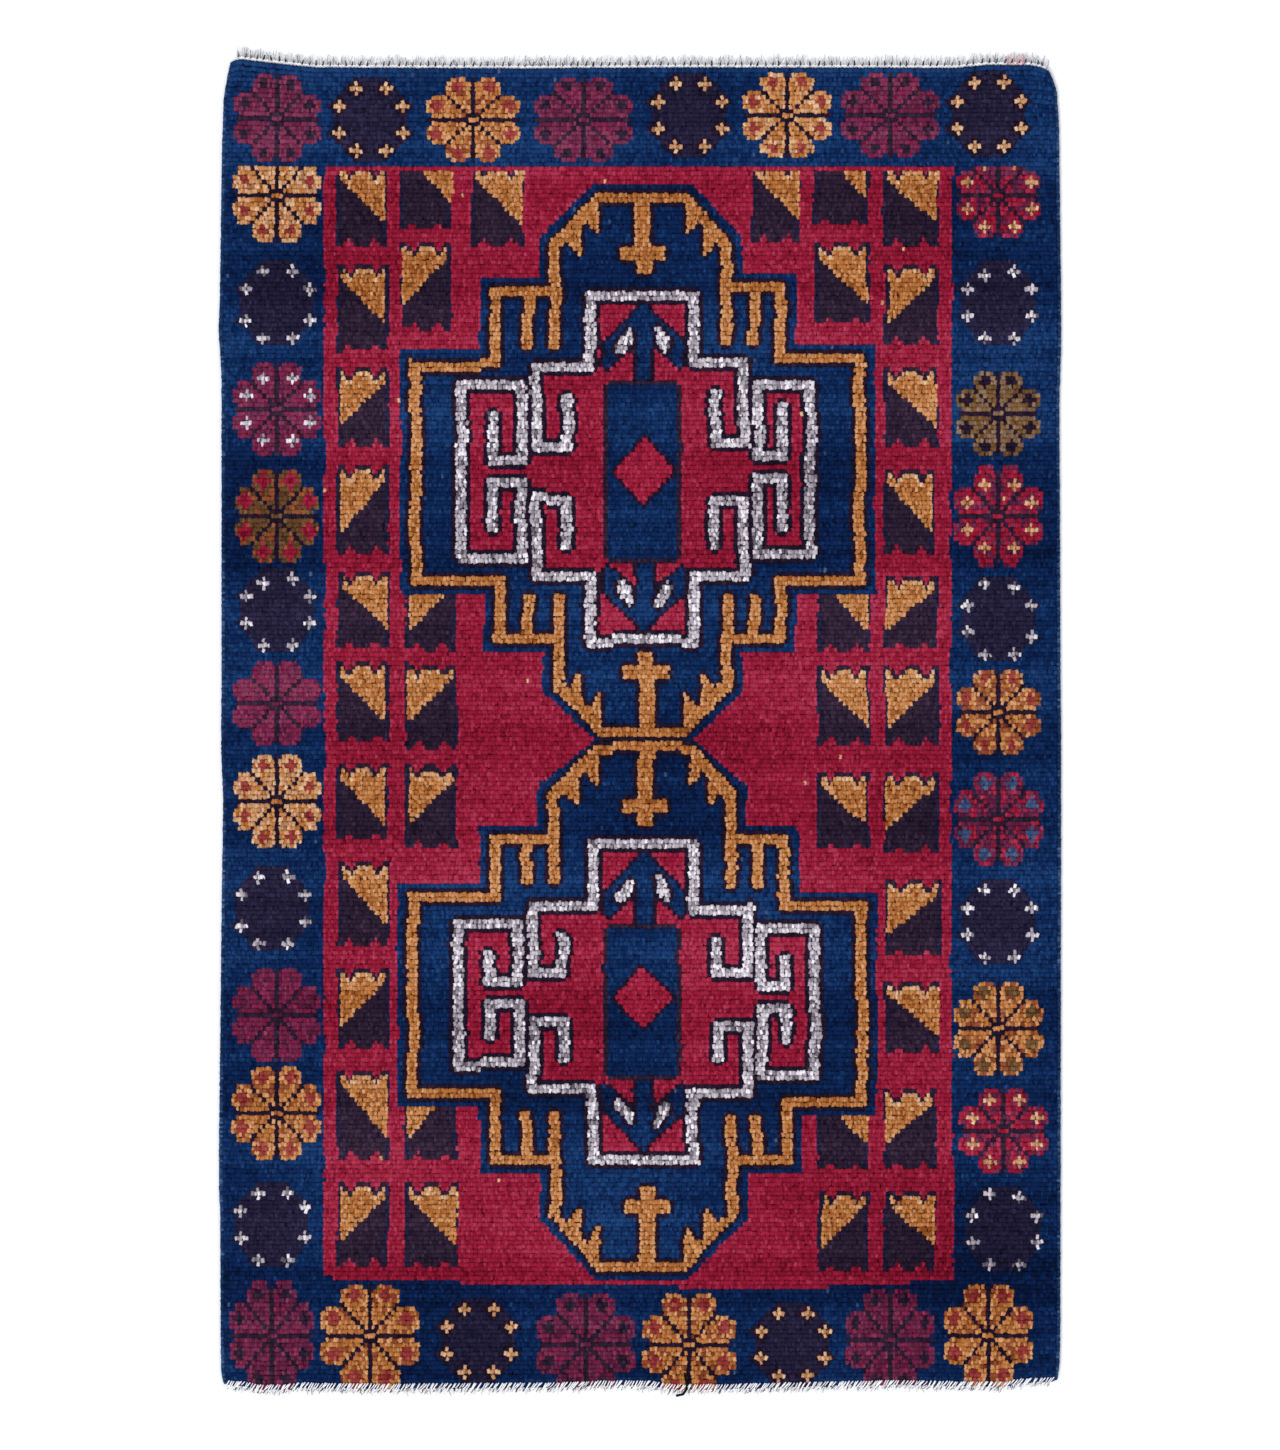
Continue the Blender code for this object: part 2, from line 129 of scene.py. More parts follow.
yarn = {name: index for index, name in enumerate(wools)}

# Every knot shows two cut ends side by side, so the drawing is held end by end: two columns to a knot
rowGrid, columnGrid = np.mgrid[0:knots["along"], 0:knots["across"] * 2].astype(float) + 0.5
columnGrid = columnGrid / 2
dice = np.random.default_rng(41)

# A weaver's hand: lines of the drawing wander by part of a knot from row to row
slip = np.repeat(dice.standard_normal((knots["along"], knots["across"] // 4 + 1)), 8, axis=1)
across = columnGrid + (0.14 * np.sin(rowGrid * 0.19 + 1.3) + 0.10 * np.sin(rowGrid * 0.47 + columnGrid * 0.09)
                       + 0.05 * slip[:, :columnGrid.shape[1]])
down = rowGrid + 0.05 * np.sin(columnGrid * 0.23 + 0.4)

chart = np.full(rowGrid.shape, yarn["navy"])


def insideOf(points):
    # Even-odd test of every knot against a closed outline given in knots.
    inside = np.zeros(across.shape, bool)
    for (x0, y0), (x1, y1) in zip(points, points[1:] + points[:1]):
        if y0 == y1:
            continue
        crossing = (down >= min(y0, y1)) & (down < max(y0, y1))
        inside ^= crossing & (across < x0 + (down - y0) * (x1 - x0) / (y1 - y0))
    return inside


def ringOf(mask):
    # The knots that touch a shape from outside.
    wide = mask.copy()
    wide[1:, :] |= mask[:-1, :]
    wide[:-1, :] |= mask[1:, :]
    for step in (1, 2):
        wide[:, step:] |= mask[:, :-step]
        wide[:, :-step] |= mask[:, step:]
    return wide & ~mask


def paint(mask, name, outline=None):
    chart[mask] = yarn[name]
    if outline:
        chart[ringOf(mask)] = yarn[outline]


# Crimson field, a little bowed where it meets the bottom border
fieldOutline = [(21.1, 22.1), (149.2, 21.9), (148.8, 120), (148.9, 200), (149.5, 271.6), (140, 272.6), (120, 273.7),
                (66, 273.3), (50, 272.5), (21, 271.4), (21.2, 150)]
field = insideOf(fieldOutline)
paint(field, "crimson")

# Flags: a gold triangle under a three-pointed crown, on a dark banner.
# Each entry: left and right column, row of the gold's top, column and row of its tip, row of the banner's end
flags = [
    (23.7, 34.2, 23.7, 32.6, 34.4, 40), (23.7, 34.3, 45.8, 32.6, 57.7, 63.5), (23.8, 34.4, 69.2, 25.4, 80, 85),
    (23.8, 34.4, 91.2, 25.4, 104.2, 109), (23.7, 34.5, 114.7, 33.1, 125.9, 130.3),
    (23.7, 34.4, 135.1, 32.6, 146.8, 151.3), (23.7, 34.3, 157.9, 32.8, 169.8, 173.4),
    (23.8, 34.4, 179.9, 33.1, 192.9, 197.2), (23.7, 34.4, 203.8, 25.5, 214.9, 220),
    (23.8, 34.4, 226.7, 33.3, 240, 244.6), (23.8, 34.3, 252, 25.5, 263.4, 268.8),
    (36.6, 47.2, 17.5, 46.4, 30.5, 36.4), (36.7, 47, 41, 37.9, 53.3, 58.5), (37.6, 48, 114.8, 39.3, 126, 130.5),
    (37.5, 48.2, 135.4, 39, 147, 152.6), (37.5, 48.2, 158.3, 39.5, 169.9, 175),
    (37.5, 48.2, 227.5, 39.2, 240.2, 245.2), (37.5, 48.4, 252.2, 47.3, 264.2, 269.2),
    (51.2, 61.8, 23.5, 60.7, 34.9, 39.8), (108.3, 118.2, 23, 117.2, 34.1, 39),
    (120.8, 132.2, 16.4, 130.7, 29.2, 35.3), (121, 132.3, 41, 130.7, 52.7, 57.4),
    (121.6, 132.4, 114.2, 130.9, 126.1, 130.8), (121.6, 132.4, 136, 130.9, 147.7, 151.8),
    (121.6, 132.3, 159.5, 130.8, 169.6, 175.4), (121.6, 132.1, 229.6, 131.2, 241.8, 247.4),
    (121.8, 132.2, 253.8, 123.5, 264.9, 270.2), (135, 146.4, 23.7, 145.3, 34.6, 40),
    (135.2, 146.2, 45.8, 137, 56.8, 62), (135.2, 146.2, 69, 145, 80.8, 85),
    (135.2, 145.6, 91.7, 144.2, 104.3, 109), (135.3, 146.2, 115.5, 136.6, 126.3, 130.4),
    (135.3, 146.6, 136.3, 136.7, 148, 152), (135.3, 146.6, 160, 136.6, 170.9, 176.3),
    (135.4, 146.9, 184.2, 136.8, 194.5, 199.5), (135.3, 146.5, 206.6, 145.6, 217.3, 221.2),
    (135.3, 145.9, 231.2, 136.5, 241.2, 247.2), (135.3, 145.8, 253.6, 144.8, 264.4, 269.6),
]


def paintFlag(left, right, top, tipColumn, tipRow, end):
    rim, margin = 0.9, 1.1
    middle, half = (left + right) / 2, (right - left) / 2
    share = np.clip(np.abs(across - middle) / half, 0, 1)
    notch = 1 - np.abs(np.abs(share - 0.5) / 0.25).clip(0, 1)
    crown = top - 0.8 + 2.1 * notch
    foot = end - 1.8 * notch
    banner = field & (across >= left) & (across < right) & (down >= crown - margin) & (down < foot)
    paint(banner, "aubergine")
    paint(banner & ((across < left + rim) | (across >= right - rim)), "indigo")
    start, finish = (left + rim, tipColumn + rim) if tipColumn > middle else (right - rim, tipColumn - rim)
    along = (across - start) / (finish - start)
    slope = top + 1.4 + along * (tipRow - top - 1.4)
    gold = banner & (down >= crown) & (down < slope) & (along > 0) & (along < 1)
    paint(gold, "gold")
    paint(gold & (down < crown + margin) & (dice.random(gold.shape) < 0.6), "paleGold")


for flag in flags:
    paintFlag(*flag)

# One row of crimson runs along the top of the field, above the flags
paint(field & (rowGrid < 23.0), "crimson")

middleColumn = 85.5
goldLine = 2.0
ivoryLine = 2.0
# Medallions: how far each line lies from the rug's middle column, and the rows where it turns.
# Each measure is given for the upper medallion's left and right half, then the lower one's
measures = {
    "bar": (8.5, 9.6, 8.7, 10.4), "big": (18.4, 18.6, 18.5, 19.6), "comb": (30.5, 29.6, 30.6, 30.2),
    "side": (46.7, 45.8, 47.3, 46.2), "lowComb": (29.6, 29.6, 30.5, 31), "lowBig": (17.5, 18.8, 18.3, 19.7),
    "barEnd": (8.2, 9.1, 8.5, 9.5), "tooth": (21.9, 22.2, 22.2, 22.8), "barTop": (28, 28, 151.5, 151.5),
    "slopeTop": (39.2, 38.7, 162, 162), "combTop": (48.7, 48, 172, 172), "teethTop": (63.2, 62.3, 183.4, 184.2),
    "sideTop": (65.5, 64.2, 185.1, 187.2), "sideEnd": (116.2, 116.1, 230.6, 232.8),
    "teethEnd": (118.3, 118.3, 234, 234.8), "combEnd": (129.3, 129.2, 246, 246),
    "slopeEnd": (139, 139, 257.3, 257.3), "barFoot": (149.8, 149.7, 269.8, 269.8), "crown": (11.2, 12, 10.6, 11.8),
    "hookOut": (22.1, 22.2, 22.7, 23), "hookIn": (13.8, 14.3, 14.7, 14.8), "boxNear": (23.1, 23.1, 23.7, 23.8),
    "boxFar": (37.4, 35.7, 38, 36.6), "boxHook": (31, 30, 31.7, 30.6), "lineTop": (49.6, 49.6, 172.8, 172.8),
    "shoulder": (66.4, 65.2, 187, 187.5), "hookTip": (72.6, 71.7, 193.8, 194.5), "hook": (85.8, 85, 203.8, 203.8),
    "hookEnd": (95.5, 95.5, 213.4, 213.8), "hookTipEnd": (108.3, 108.3, 222.6, 222.7),
    "shoulderEnd": (115.1, 115, 230.2, 231.3), "lineEnd": (129.5, 129.5, 246, 246),
    "boxTop": (70.4, 69.6, 191.2, 192.1), "boxTip": (76.6, 75.5, 197.8, 198.6), "boxTurn": (89, 87.9, 206.5, 206.8),
    "boxTurnEnd": (91.7, 91.3, 209.5, 210.3), "boxTipEnd": (103.7, 104, 217.9, 218.8),
    "boxEnd": (111, 110.3, 224.5, 226.6),
}
upperLeft, upperRight, lowerLeft, lowerRight = (
    SimpleNamespace(**{name: values[half] for name, values in measures.items()}) for half in range(4))


def staircase(column, row, *turns):
    # The corners of a path that runs down to the first turn, across to the second, and so on.
    corners = [(column, row)]
    for index, turn in enumerate(turns):
        column, row = (turn, row) if index % 2 else (column, turn)
        corners.append((column, row))
    return corners


def goldOutside(s):
    steps = staircase(s.big, s.slopeTop, s.combTop, s.comb, s.sideTop, s.side, s.sideEnd, s.lowComb, s.combEnd,
                      s.lowBig, s.slopeEnd)
    return [(s.bar, s.barTop)] + steps + [(s.barEnd, s.barFoot)]


def goldInside(s):
    # The gold line's inner edge, with its two hooks at each slope and its comb teeth.
    line, top, foot, tooth = goldLine, s.barTop, s.barFoot, s.tooth
    combTop, combEnd = s.combTop + line, s.combEnd - line
    near, far = s.bar - 0.1, s.bar + 3.6
    nearLow, farLow = s.barEnd - 0.2, s.barEnd + 3.6
    hooks = [(near, top + line), (near, top + 9.3), (near + 2.5, top + 6.2), (far, top + 7.4), (far, top + 14.0),
             (far + 2.6, top + 10.9)]
    steps = staircase(s.big - line, top + 12.3, s.teethTop, s.big, combTop, tooth, s.teethTop, tooth + line,
                      combTop, s.comb - line, s.sideTop + line, s.side - line, s.sideEnd - line,
                      s.lowComb - line, combEnd, tooth + line, s.teethEnd, tooth, combEnd, s.lowBig, s.teethEnd,
                      s.lowBig - line, foot - 12.3)
    lowHooks = [(farLow + 2.4, foot - 10.9), (farLow, foot - 14.2), (farLow, foot - 7.4),
                (nearLow + 2.5, foot - 6.2), (nearLow, foot - 10.2), (nearLow, foot - line)]
    return hooks + steps + lowHooks


def edgingOutside(s):
    # The navy edging runs round the gold line, nearly level with it at the slopes.
    wide, slope = 2.15, 1.1
    lifts = [-slope] + [-wide] * 4 + [wide] * 4 + [slope]
    return [(reach + wide, row + lift) for (reach, row), lift in zip(goldOutside(s)[1:-1], lifts)]


def silhouette(s):
    return staircase(s.crown, s.lineTop, s.shoulder, s.hookOut, s.boxTop, s.boxFar, s.boxEnd, s.hookOut,
                     s.shoulderEnd, s.crown, s.lineEnd)


def ivoryCrown(s, start, shoulder, tip, hook, line):
    wide = ivoryLine
    return staircase(s.crown, start, shoulder, s.hookOut, hook, s.hookIn, tip, s.hookIn + wide, hook - line,
                     s.hookOut - wide, shoulder + line, s.crown - wide, start + line)


def ivoryScroll(s):
    wide = ivoryLine
    near, far, hook = s.boxNear, s.boxFar, s.boxHook
    return staircase(far, s.boxTop, s.boxEnd, near, s.boxTurnEnd, hook, s.boxTipEnd, hook - wide,
                     s.boxTurnEnd + wide, near + wide, s.boxEnd - wide, far - wide, s.boxTop + wide, near + wide,
                     s.boxTurn - wide, hook - wide, s.boxTip, hook, s.boxTurn, near, s.boxTop)


def onSide(half, side):
    return [(middleColumn + side * reach, row) for reach, row in half]


def joined(left, right):
    return onSide(left, -1) + onSide(right, 1)[::-1]


def box(left, right, top, end):
    return [(left, top), (left, end), (right, end), (right, top)]


waist = (upperLeft.barFoot + lowerLeft.barTop) / 2
edging = [[(start, 25.8)] + edgingOutside(above) + [(narrow, waist)] + edgingOutside(below) + [(finish, 272.0)]
          for start, above, narrow, below, finish in (
              (9.4, upperLeft, 9.3, lowerLeft, 8.8), (10.6, upperRight, 10.6, lowerRight, 9.6))]
paint(insideOf(joined(*edging)), "navy")


def crossStem(column, root, direction, tip, crossNear, crossFar):
    # A stem that grows from the gold bar and ends in a cross.
    stem = box(column - 1.5, column + 1.5, root, root + direction * tip)
    arms = box(column - 4.5, column + 4.5, root + direction * crossNear, root + direction * crossFar)
    return insideOf(stem) | insideOf(arms)


def paintPanelEnd(start, direction):
    # Arrow of dark wool with two ivory strokes, between crimson corners.
    def at(points):
        return insideOf([(column, start + direction * row) for column, row in points])

    paint(at(box(76.8, 95.2, 0.0, 19.0)), "crimson")
    arrow = at([(86.2, 0.9), (79.6, 8.4), (78.4, 9.8), (78.4, 15.6), (85.0, 9.6), (87.8, 9.6), (94.4, 15.6),
                (94.4, 9.8), (93.0, 8.4)]) | at(box(85.0, 87.8, 5.0, 19.5))
    paint(arrow, "navy", "shadow")
    marks = at([(83.1, 6.5), (84.0, 6.9), (83.8, 9.5), (82.8, 11.1), (81.6, 12.4), (80.6, 12.2), (80.6, 10.1),
                (81.6, 8.7), (82.6, 8.1)])
    marks |= at([(88.4, 6.1), (89.6, 6.1), (90.6, 8.1), (91.6, 8.9), (91.6, 10.7), (91.2, 11.9), (90.4, 11.5),
                 (89.2, 9.9), (88.8, 8.3)])
    paint(marks, "ivory", "shadow")


def paintMedallion(left, right, stems, panelTop, panelEnd, diamondAt, diamondReach):
    inner = insideOf(joined(goldInside(left), goldInside(right)))
    gold = insideOf(joined(goldOutside(left), goldOutside(right))) & ~inner
    gold |= crossStem(stems[0], left.barTop, 1, 18.4, 12.1, 15.1)
    gold |= crossStem(stems[1], left.barFoot, -1, 18.9, 12.3, 15.8)
    paint(gold, "gold", "shadow")
    paint(insideOf(joined(silhouette(left), silhouette(right))), "crimson")

    crowns = [[ivoryCrown(half, half.lineTop, half.shoulder, half.hookTip, half.hook, ivoryLine),
               ivoryCrown(half, half.lineEnd, half.shoulderEnd, half.hookTipEnd, half.hookEnd, -ivoryLine)]
              for half in (left, right)]
    ivory = insideOf(onSide(ivoryScroll(left), -1)) | insideOf(onSide(ivoryScroll(right), 1))
    for leftCrown, rightCrown in zip(*crowns):
        ivory |= insideOf(joined(leftCrown, rightCrown))

    paintPanelEnd(left.lineTop + 2.3, 1)
    paintPanelEnd(left.lineEnd - 2.3, -1)
    paint(ivory, "ivory", "shadow")

    paint(insideOf(box(79.0, 93.0, panelTop, panelEnd)), "navy", "aubergine")
    diamond = np.abs(across - diamondAt[0]) / diamondReach[0] + np.abs(down - diamondAt[1]) / diamondReach[1] < 1
    paint(diamond, "madder", "shadow")


paintMedallion(upperLeft, upperRight, (86.2, 86.9), 70.8, 110.0, (86.3, 90.3), (6.2, 7.4))
paintMedallion(lowerLeft, lowerRight, (86.6, 87.0), 192.6, 225.6, (86.1, 208.6), (6.0, 6.8))

# Border flowers: eight petals, each with an eye, split by dark lines.
# A look names the petal's wool, a second wool mixed into it and its share, the eye's wool and its reach.
# A flower whose eyes have no reach wears small crosses instead
flowerLooks = {
    "gold": ("gold", "paleGold", 0.25, "brick", 1.5),
    "goldPale": ("gold", "paleGold", 0.55, "brick", 1.4),
    "goldRed": ("gold", "rust", 0.22, "brick", 1.7),
    "goldDark": ("gold", "rust", 0.30, "olive", 1.7),
    "goldBrown": ("gold", "rust", 0.50, "brick", 1.5),
    "plum": ("plum", "rose", 0.25, "aubergine", 1.4),
    "plumRed": ("plum", "rose", 0.60, "plum", 1.0),
    "plumWhite": ("plum", "rose", 0.45, "ivory", 0),
    "crimsonGold": ("crimson", "plum", 0.35, "paleGold", 0),
    "crimsonBlue": ("crimson", "plum", 0.65, "lightBlue", 1.6),
    "brownRed": ("olive", "rust", 0.25, "crimson", 1.9),
    "tan": ("tan", "olive", 0.55, "shadow", 1.8),
}
# Each flower: look, column, row, half width and half height
flowers = {
    "top": [("plum", 11.5, 11.5, 8.7, 9.8), ("goldRed", 51.5, 11.5, 9.6, 9.8), ("plum", 74.0, 11.5, 10.1, 9.8),
            ("gold", 115.5, 10.5, 9.0, 9.5), ("plum", 136.5, 10.5, 9.9, 9.7)],
    "left": [("goldPale", 11.5, 28.5, 8.7, 10.3), ("plumWhite", 11.5, 76.5, 8.8, 10.3),
             ("brownRed", 11.5, 100.5, 8.6, 10.4), ("plumRed", 11.5, 142.5, 8.7, 9.6),
             ("goldPale", 11.5, 164.5, 8.7, 10.4), ("plumRed", 11.5, 212.5, 8.8, 10.7),
             ("goldRed", 11.5, 234.5, 8.9, 10.3)],
    "right": [("crimsonGold", 158.5, 28.5, 8.5, 9.8), ("tan", 158.5, 77.5, 8.3, 9.6),
              ("crimsonGold", 158.5, 100.5, 8.8, 11.0), ("goldBrown", 158.5, 144.5, 8.4, 9.8),
              ("crimsonBlue", 158.5, 168.5, 8.8, 10.2), ("goldDark", 158.5, 215.5, 8.9, 10.6),
              ("crimsonGold", 159.5, 238.5, 8.8, 9.5)],
    "bottom": [("plum", 10.5, 284.5, 8.6, 11.9), ("goldRed", 30.5, 284.5, 9.8, 11.8),
               ("plum", 74.5, 286.5, 9.8, 11.6), ("goldRed", 95.5, 286.5, 9.2, 11.7),
               ("plum", 136.5, 285.5, 9.1, 11.6), ("goldRed", 156.5, 284.5, 8.9, 11.6)],
}
# Where the eight small crosses of a flower or a rosette stand about its middle
crossPlaces = [(-3, -7), (3, -7), (-6.5, -3), (6.5, -3), (-6.5, 3), (6.5, 3), (-3, 7), (3, 7)]


def crossAt(column, row):
    # The cross stands on one cut end, so its upright is half a knot wide
    return np.abs(columnGrid - column - 0.25) + np.abs(rowGrid - row) < 1.2


def paintFlower(look, column, row, wide, tall):
    petalWool, mixWool, share, eyeWool, eyeReach = flowerLooks[look]
    side = np.abs(columnGrid - column) * 9.5 / wide
    rise = np.abs(rowGrid - row) * 9.5 / tall
    minor, major = np.minimum(side, rise), np.maximum(side, rise)
    # The first flowers down each side are cut short by the top border's ground
    allowed = (rowGrid > 22) if 20 < row < 30 else np.ones(chart.shape, bool)
    petal = allowed & (minor >= 0.5) & (minor < np.minimum(5.6, major - 0.55)) & (major < 9.6)
    petal &= ~((major > 8.5) & ((minor < 1.3) | (minor > 4.4)))
    lines = allowed & (minor < 0.5) & (major < 9.3)
    lines |= allowed & (np.abs(side - rise) < 0.7) & (major < 6.0) & (minor >= 0.5)
    paint(lines, "aubergine" if petalWool in ("plum", "crimson") else "shadow")
    paint(petal, petalWool)
    speckle = np.repeat(dice.random((chart.shape[0], chart.shape[1] // 2)), 2, axis=1)
    paint(petal & (speckle < share), mixWool)
    paint(petal & (np.abs(minor - 3.1) + np.abs(major - 7.3) < eyeReach), eyeWool)
    if not eyeReach:
        for stepAcross, stepDown in crossPlaces:
            paint(allowed & crossAt(column + stepAcross, row + stepDown), eyeWool)
    paint(allowed & (side + rise < 0.9), petalWool)


for flower in sum(flowers.values(), []):
    paintFlower(*flower)

# Rosettes: a dark round with eight small sprigs about it
rosettes = [
    ("paleGold", 30.5, 11.5), ("paleGold", 95.5, 10.5), ("paleGold", 156.5, 10.5),
    ("ivory", 11.5, 52.5), ("ivory", 11.5, 121.5), ("ivory", 10.5, 188.5), ("ivory", 10.5, 259.5),
    ("ivory", 158.5, 52.5), ("ivory", 158.5, 123.5), ("ivory", 158.5, 191.5), ("ivory", 159.5, 260.5),
    ("paleGold", 52.5, 285.5), ("paleGold", 116.5, 286.5),
]


def paintRosette(name, column, row):
    side, rise = np.abs(columnGrid - column), np.abs(rowGrid - row)
    paint((side < 7.6) & (rise < 9.2) & (side / 7.6 + rise / 9.2 < 1.42), "indigo")
    ground, reach = ("shadow", 2.6) if name == "paleGold" else ("indigo", 1.9)
    for stepAcross, stepDown in crossPlaces:
        nudge = dice.integers(-1, 2) if dice.random() < 0.3 else 0
        if name == "paleGold":
            nudge = 0
        elif stepDown > 4:
            nudge = 1
        spotColumn, spotRow = column + stepAcross, row + stepDown + nudge
        paint(np.abs(columnGrid - spotColumn) + np.abs(rowGrid - spotRow) < reach, ground)
        paint(crossAt(spotColumn, spotRow), name)


for rosette in rosettes:
    paintRosette(*rosette)

# Odd knots left from the ends of other yarns
strays = dice.random(chart.shape)
paint((strays < 0.0009) & (chart == yarn["navy"]), "lightBlue")
paint((strays > 0.9994) & (chart == yarn["crimson"]), "paleGold")
print("chart painted", chart.shape)


def surface(tree, shader, colour, tone, height, relief, finish):
    # Colour dimmed by tone, relief from height, and the rest of the finish as plain values.
    bump = addNode(tree, "ShaderNodeBump", {"Height": height, **relief})
    tree.links.new(vectorOf(tree, "SCALE", colour, tone), shader.inputs["Base Color"])
    tree.links.new(bump.outputs["Normal"], shader.inputs["Normal"])
    for socket, value in finish.items():
        shader.inputs[socket].default_value = value


# Fibres lie along the rows, some three millimetres long and well under one across. The shade heights are the
# two heights between which painted shade lifts the yarn from its darkest, down between the knots, into full colour
spun = {"fibres": (420.0, 1300.0, 900.0), "streak": (0.28, 0.72, 0.66, 1.32), "shadeHeights": (0.0052, 0.0094),
        "darkest": 0.22, "relief": {"Strength": 0.55, "Distance": 0.0004}}


def woolPile(name, deep, usual, light, shadeHeights=spun["shadeHeights"]):
    # Hand-spun wool, cut and sheared: matt, with a trace of sheen and a streak of fibres.
    material, tree, shader = newMaterial(name)
    spot = addNode(tree, "ShaderNodeTexCoord").outputs["Object"]
    shade = addNode(tree, "ShaderNodeAttribute", attribute_name="shade")
    ramp = addNode(tree, "ShaderNodeValToRGB", {"Fac": shade.outputs["Fac"]})
    first, last = ramp.color_ramp.elements
    first.position, first.color = 0.05, linearColour(deep)
    last.position, last.color = 0.97, linearColour(light)
    ramp.color_ramp.elements.new(0.5).color = linearColour(usual)
    fibres = addNode(tree, "ShaderNodeTexNoise", {
        "Vector": vectorOf(tree, "MULTIPLY", spot, spun["fibres"]), "Scale": 1.0, "Detail": 3.0,
        "Roughness": 0.65, "Distortion": 0.8}).outputs["Fac"]
    height = addNode(tree, "ShaderNodeSeparateXYZ", {"Vector": spot}).outputs["Z"]
    # Painted shade: the yarn is darkened towards its root, down in the gaps between the knots
    rootShade = ranged(tree, height, *shadeHeights, spun["darkest"], 1.0, "SMOOTHSTEP")
    tone = maths(tree, "MULTIPLY", ranged(tree, fibres, *spun["streak"]), rootShade)
    surface(tree, shader, ramp.outputs["Color"], tone, fibres, spun["relief"], {
        "Roughness": 0.93, "Specular IOR Level": 0.05, "Sheen Weight": 0.04, "Sheen Roughness": 0.45,
        "Sheen Tint": linearColour(light)})
    return material


# Cut ends: root, height and looseness in metres, lean and tumble in radians, width and length in shares of a knot
pile = {"root": clothHigh[2] - 0.0002, "tall": pileHigh[2] - clothHigh[2] + 0.0002, "lean": 0.10,
        "tumble": 0.15, "wide": 1.50, "long": 1.08, "loose": 0.00035, "seed": 7}


def shapeMesh(name, points, faces, layout):
    # A small closed shape with its own flat layout, one layout corner to each face corner.
    mesh = bpy.data.meshes.new(name)
    mesh.from_pydata(points, [], faces)
    flat = mesh.uv_layers.new(name="OFBake")
    flat.data.foreach_set("uv", [value for corners in layout for corner in corners for value in corner])
    mesh.shade_smooth()
    return mesh


def tuftMesh():
    # One cut end of a knot, a unit across and a unit tall: a leaning peg with a soft crown.
    points, flat = [], []
    for height, radius, reach in ((0.0, 0.84, 0.47), (0.83, 0.66, 0.30)):
        for step in range(4):
            turn = math.pi / 2 * step
            points.append((radius * math.cos(turn + math.pi / 4), radius * math.sin(turn + math.pi / 4), height))
            flat.append((0.5 + reach * math.cos(turn), 0.5 + reach * math.sin(turn)))
    points.append((0.0, 0.0, 1.0))
    flat.append((0.5, 0.5))
    faces = []
    for step in range(4):
        following = (step + 1) % 4
        faces += [(step, following, following + 4, step + 4), (step + 4, following + 4, 8)]
    layout = [[flat[point] for point in face] for face in faces]
    faces.append((3, 2, 1, 0))
    layout.append([(0.03, 0.03), (0.03, 0.08), (0.08, 0.08), (0.08, 0.03)])
    return shapeMesh("tuft", points, faces, layout)


def tubeParts(rings, looped=False):
    # A yarn skinned round a run of rings: looped for a turn of yarn, otherwise closed with flat ends.
    count, sides = len(rings), len(rings[0])
    points = [tuple(point) for ring in rings for point in ring]
    faces, layout = [], []
    spans = count if looped else count - 1
    for ring in range(spans):
        for side in range(sides):
            pair = [(ring, side), (ring, side + 1), (ring + 1, side + 1), (ring + 1, side)]
            faces.append([r % count * sides + c % sides for r, c in pair])
            layout.append([(0.02 + 0.88 * r / spans, 0.02 + 0.96 * c / sides) for r, c in pair])
    if not looped:
        for ring, place in ((0, 0.2), (count - 1, 0.7)):
            order = range(sides) if ring else range(sides - 1, -1, -1)
            faces.append([ring * sides + side for side in order])
            layout.append([(0.95 + 0.03 * math.cos(2 * math.pi * side / sides),
                            place + 0.1 * math.sin(2 * math.pi * side / sides)) for side in order])
    return points, faces, layout


def ringsAlong(path, radius, sides):
    # Rings of points square to a path.
    ahead = np.gradient(path, axis=0)
    ahead /= np.linalg.norm(ahead, axis=1)[:, None]
    beside = np.cross(ahead, (0.0, 0.0, 1.0))
    beside /= np.maximum(np.linalg.norm(beside, axis=1), 1e-9)[:, None]
    above = np.cross(beside, ahead)
    turns = 2 * math.pi * np.arange(sides) / sides
    offset = np.cos(turns)[None, :, None] * beside[:, None, :] + np.sin(turns)[None, :, None] * above[:, None, :]
    return path[:, None, :] + offset * radius


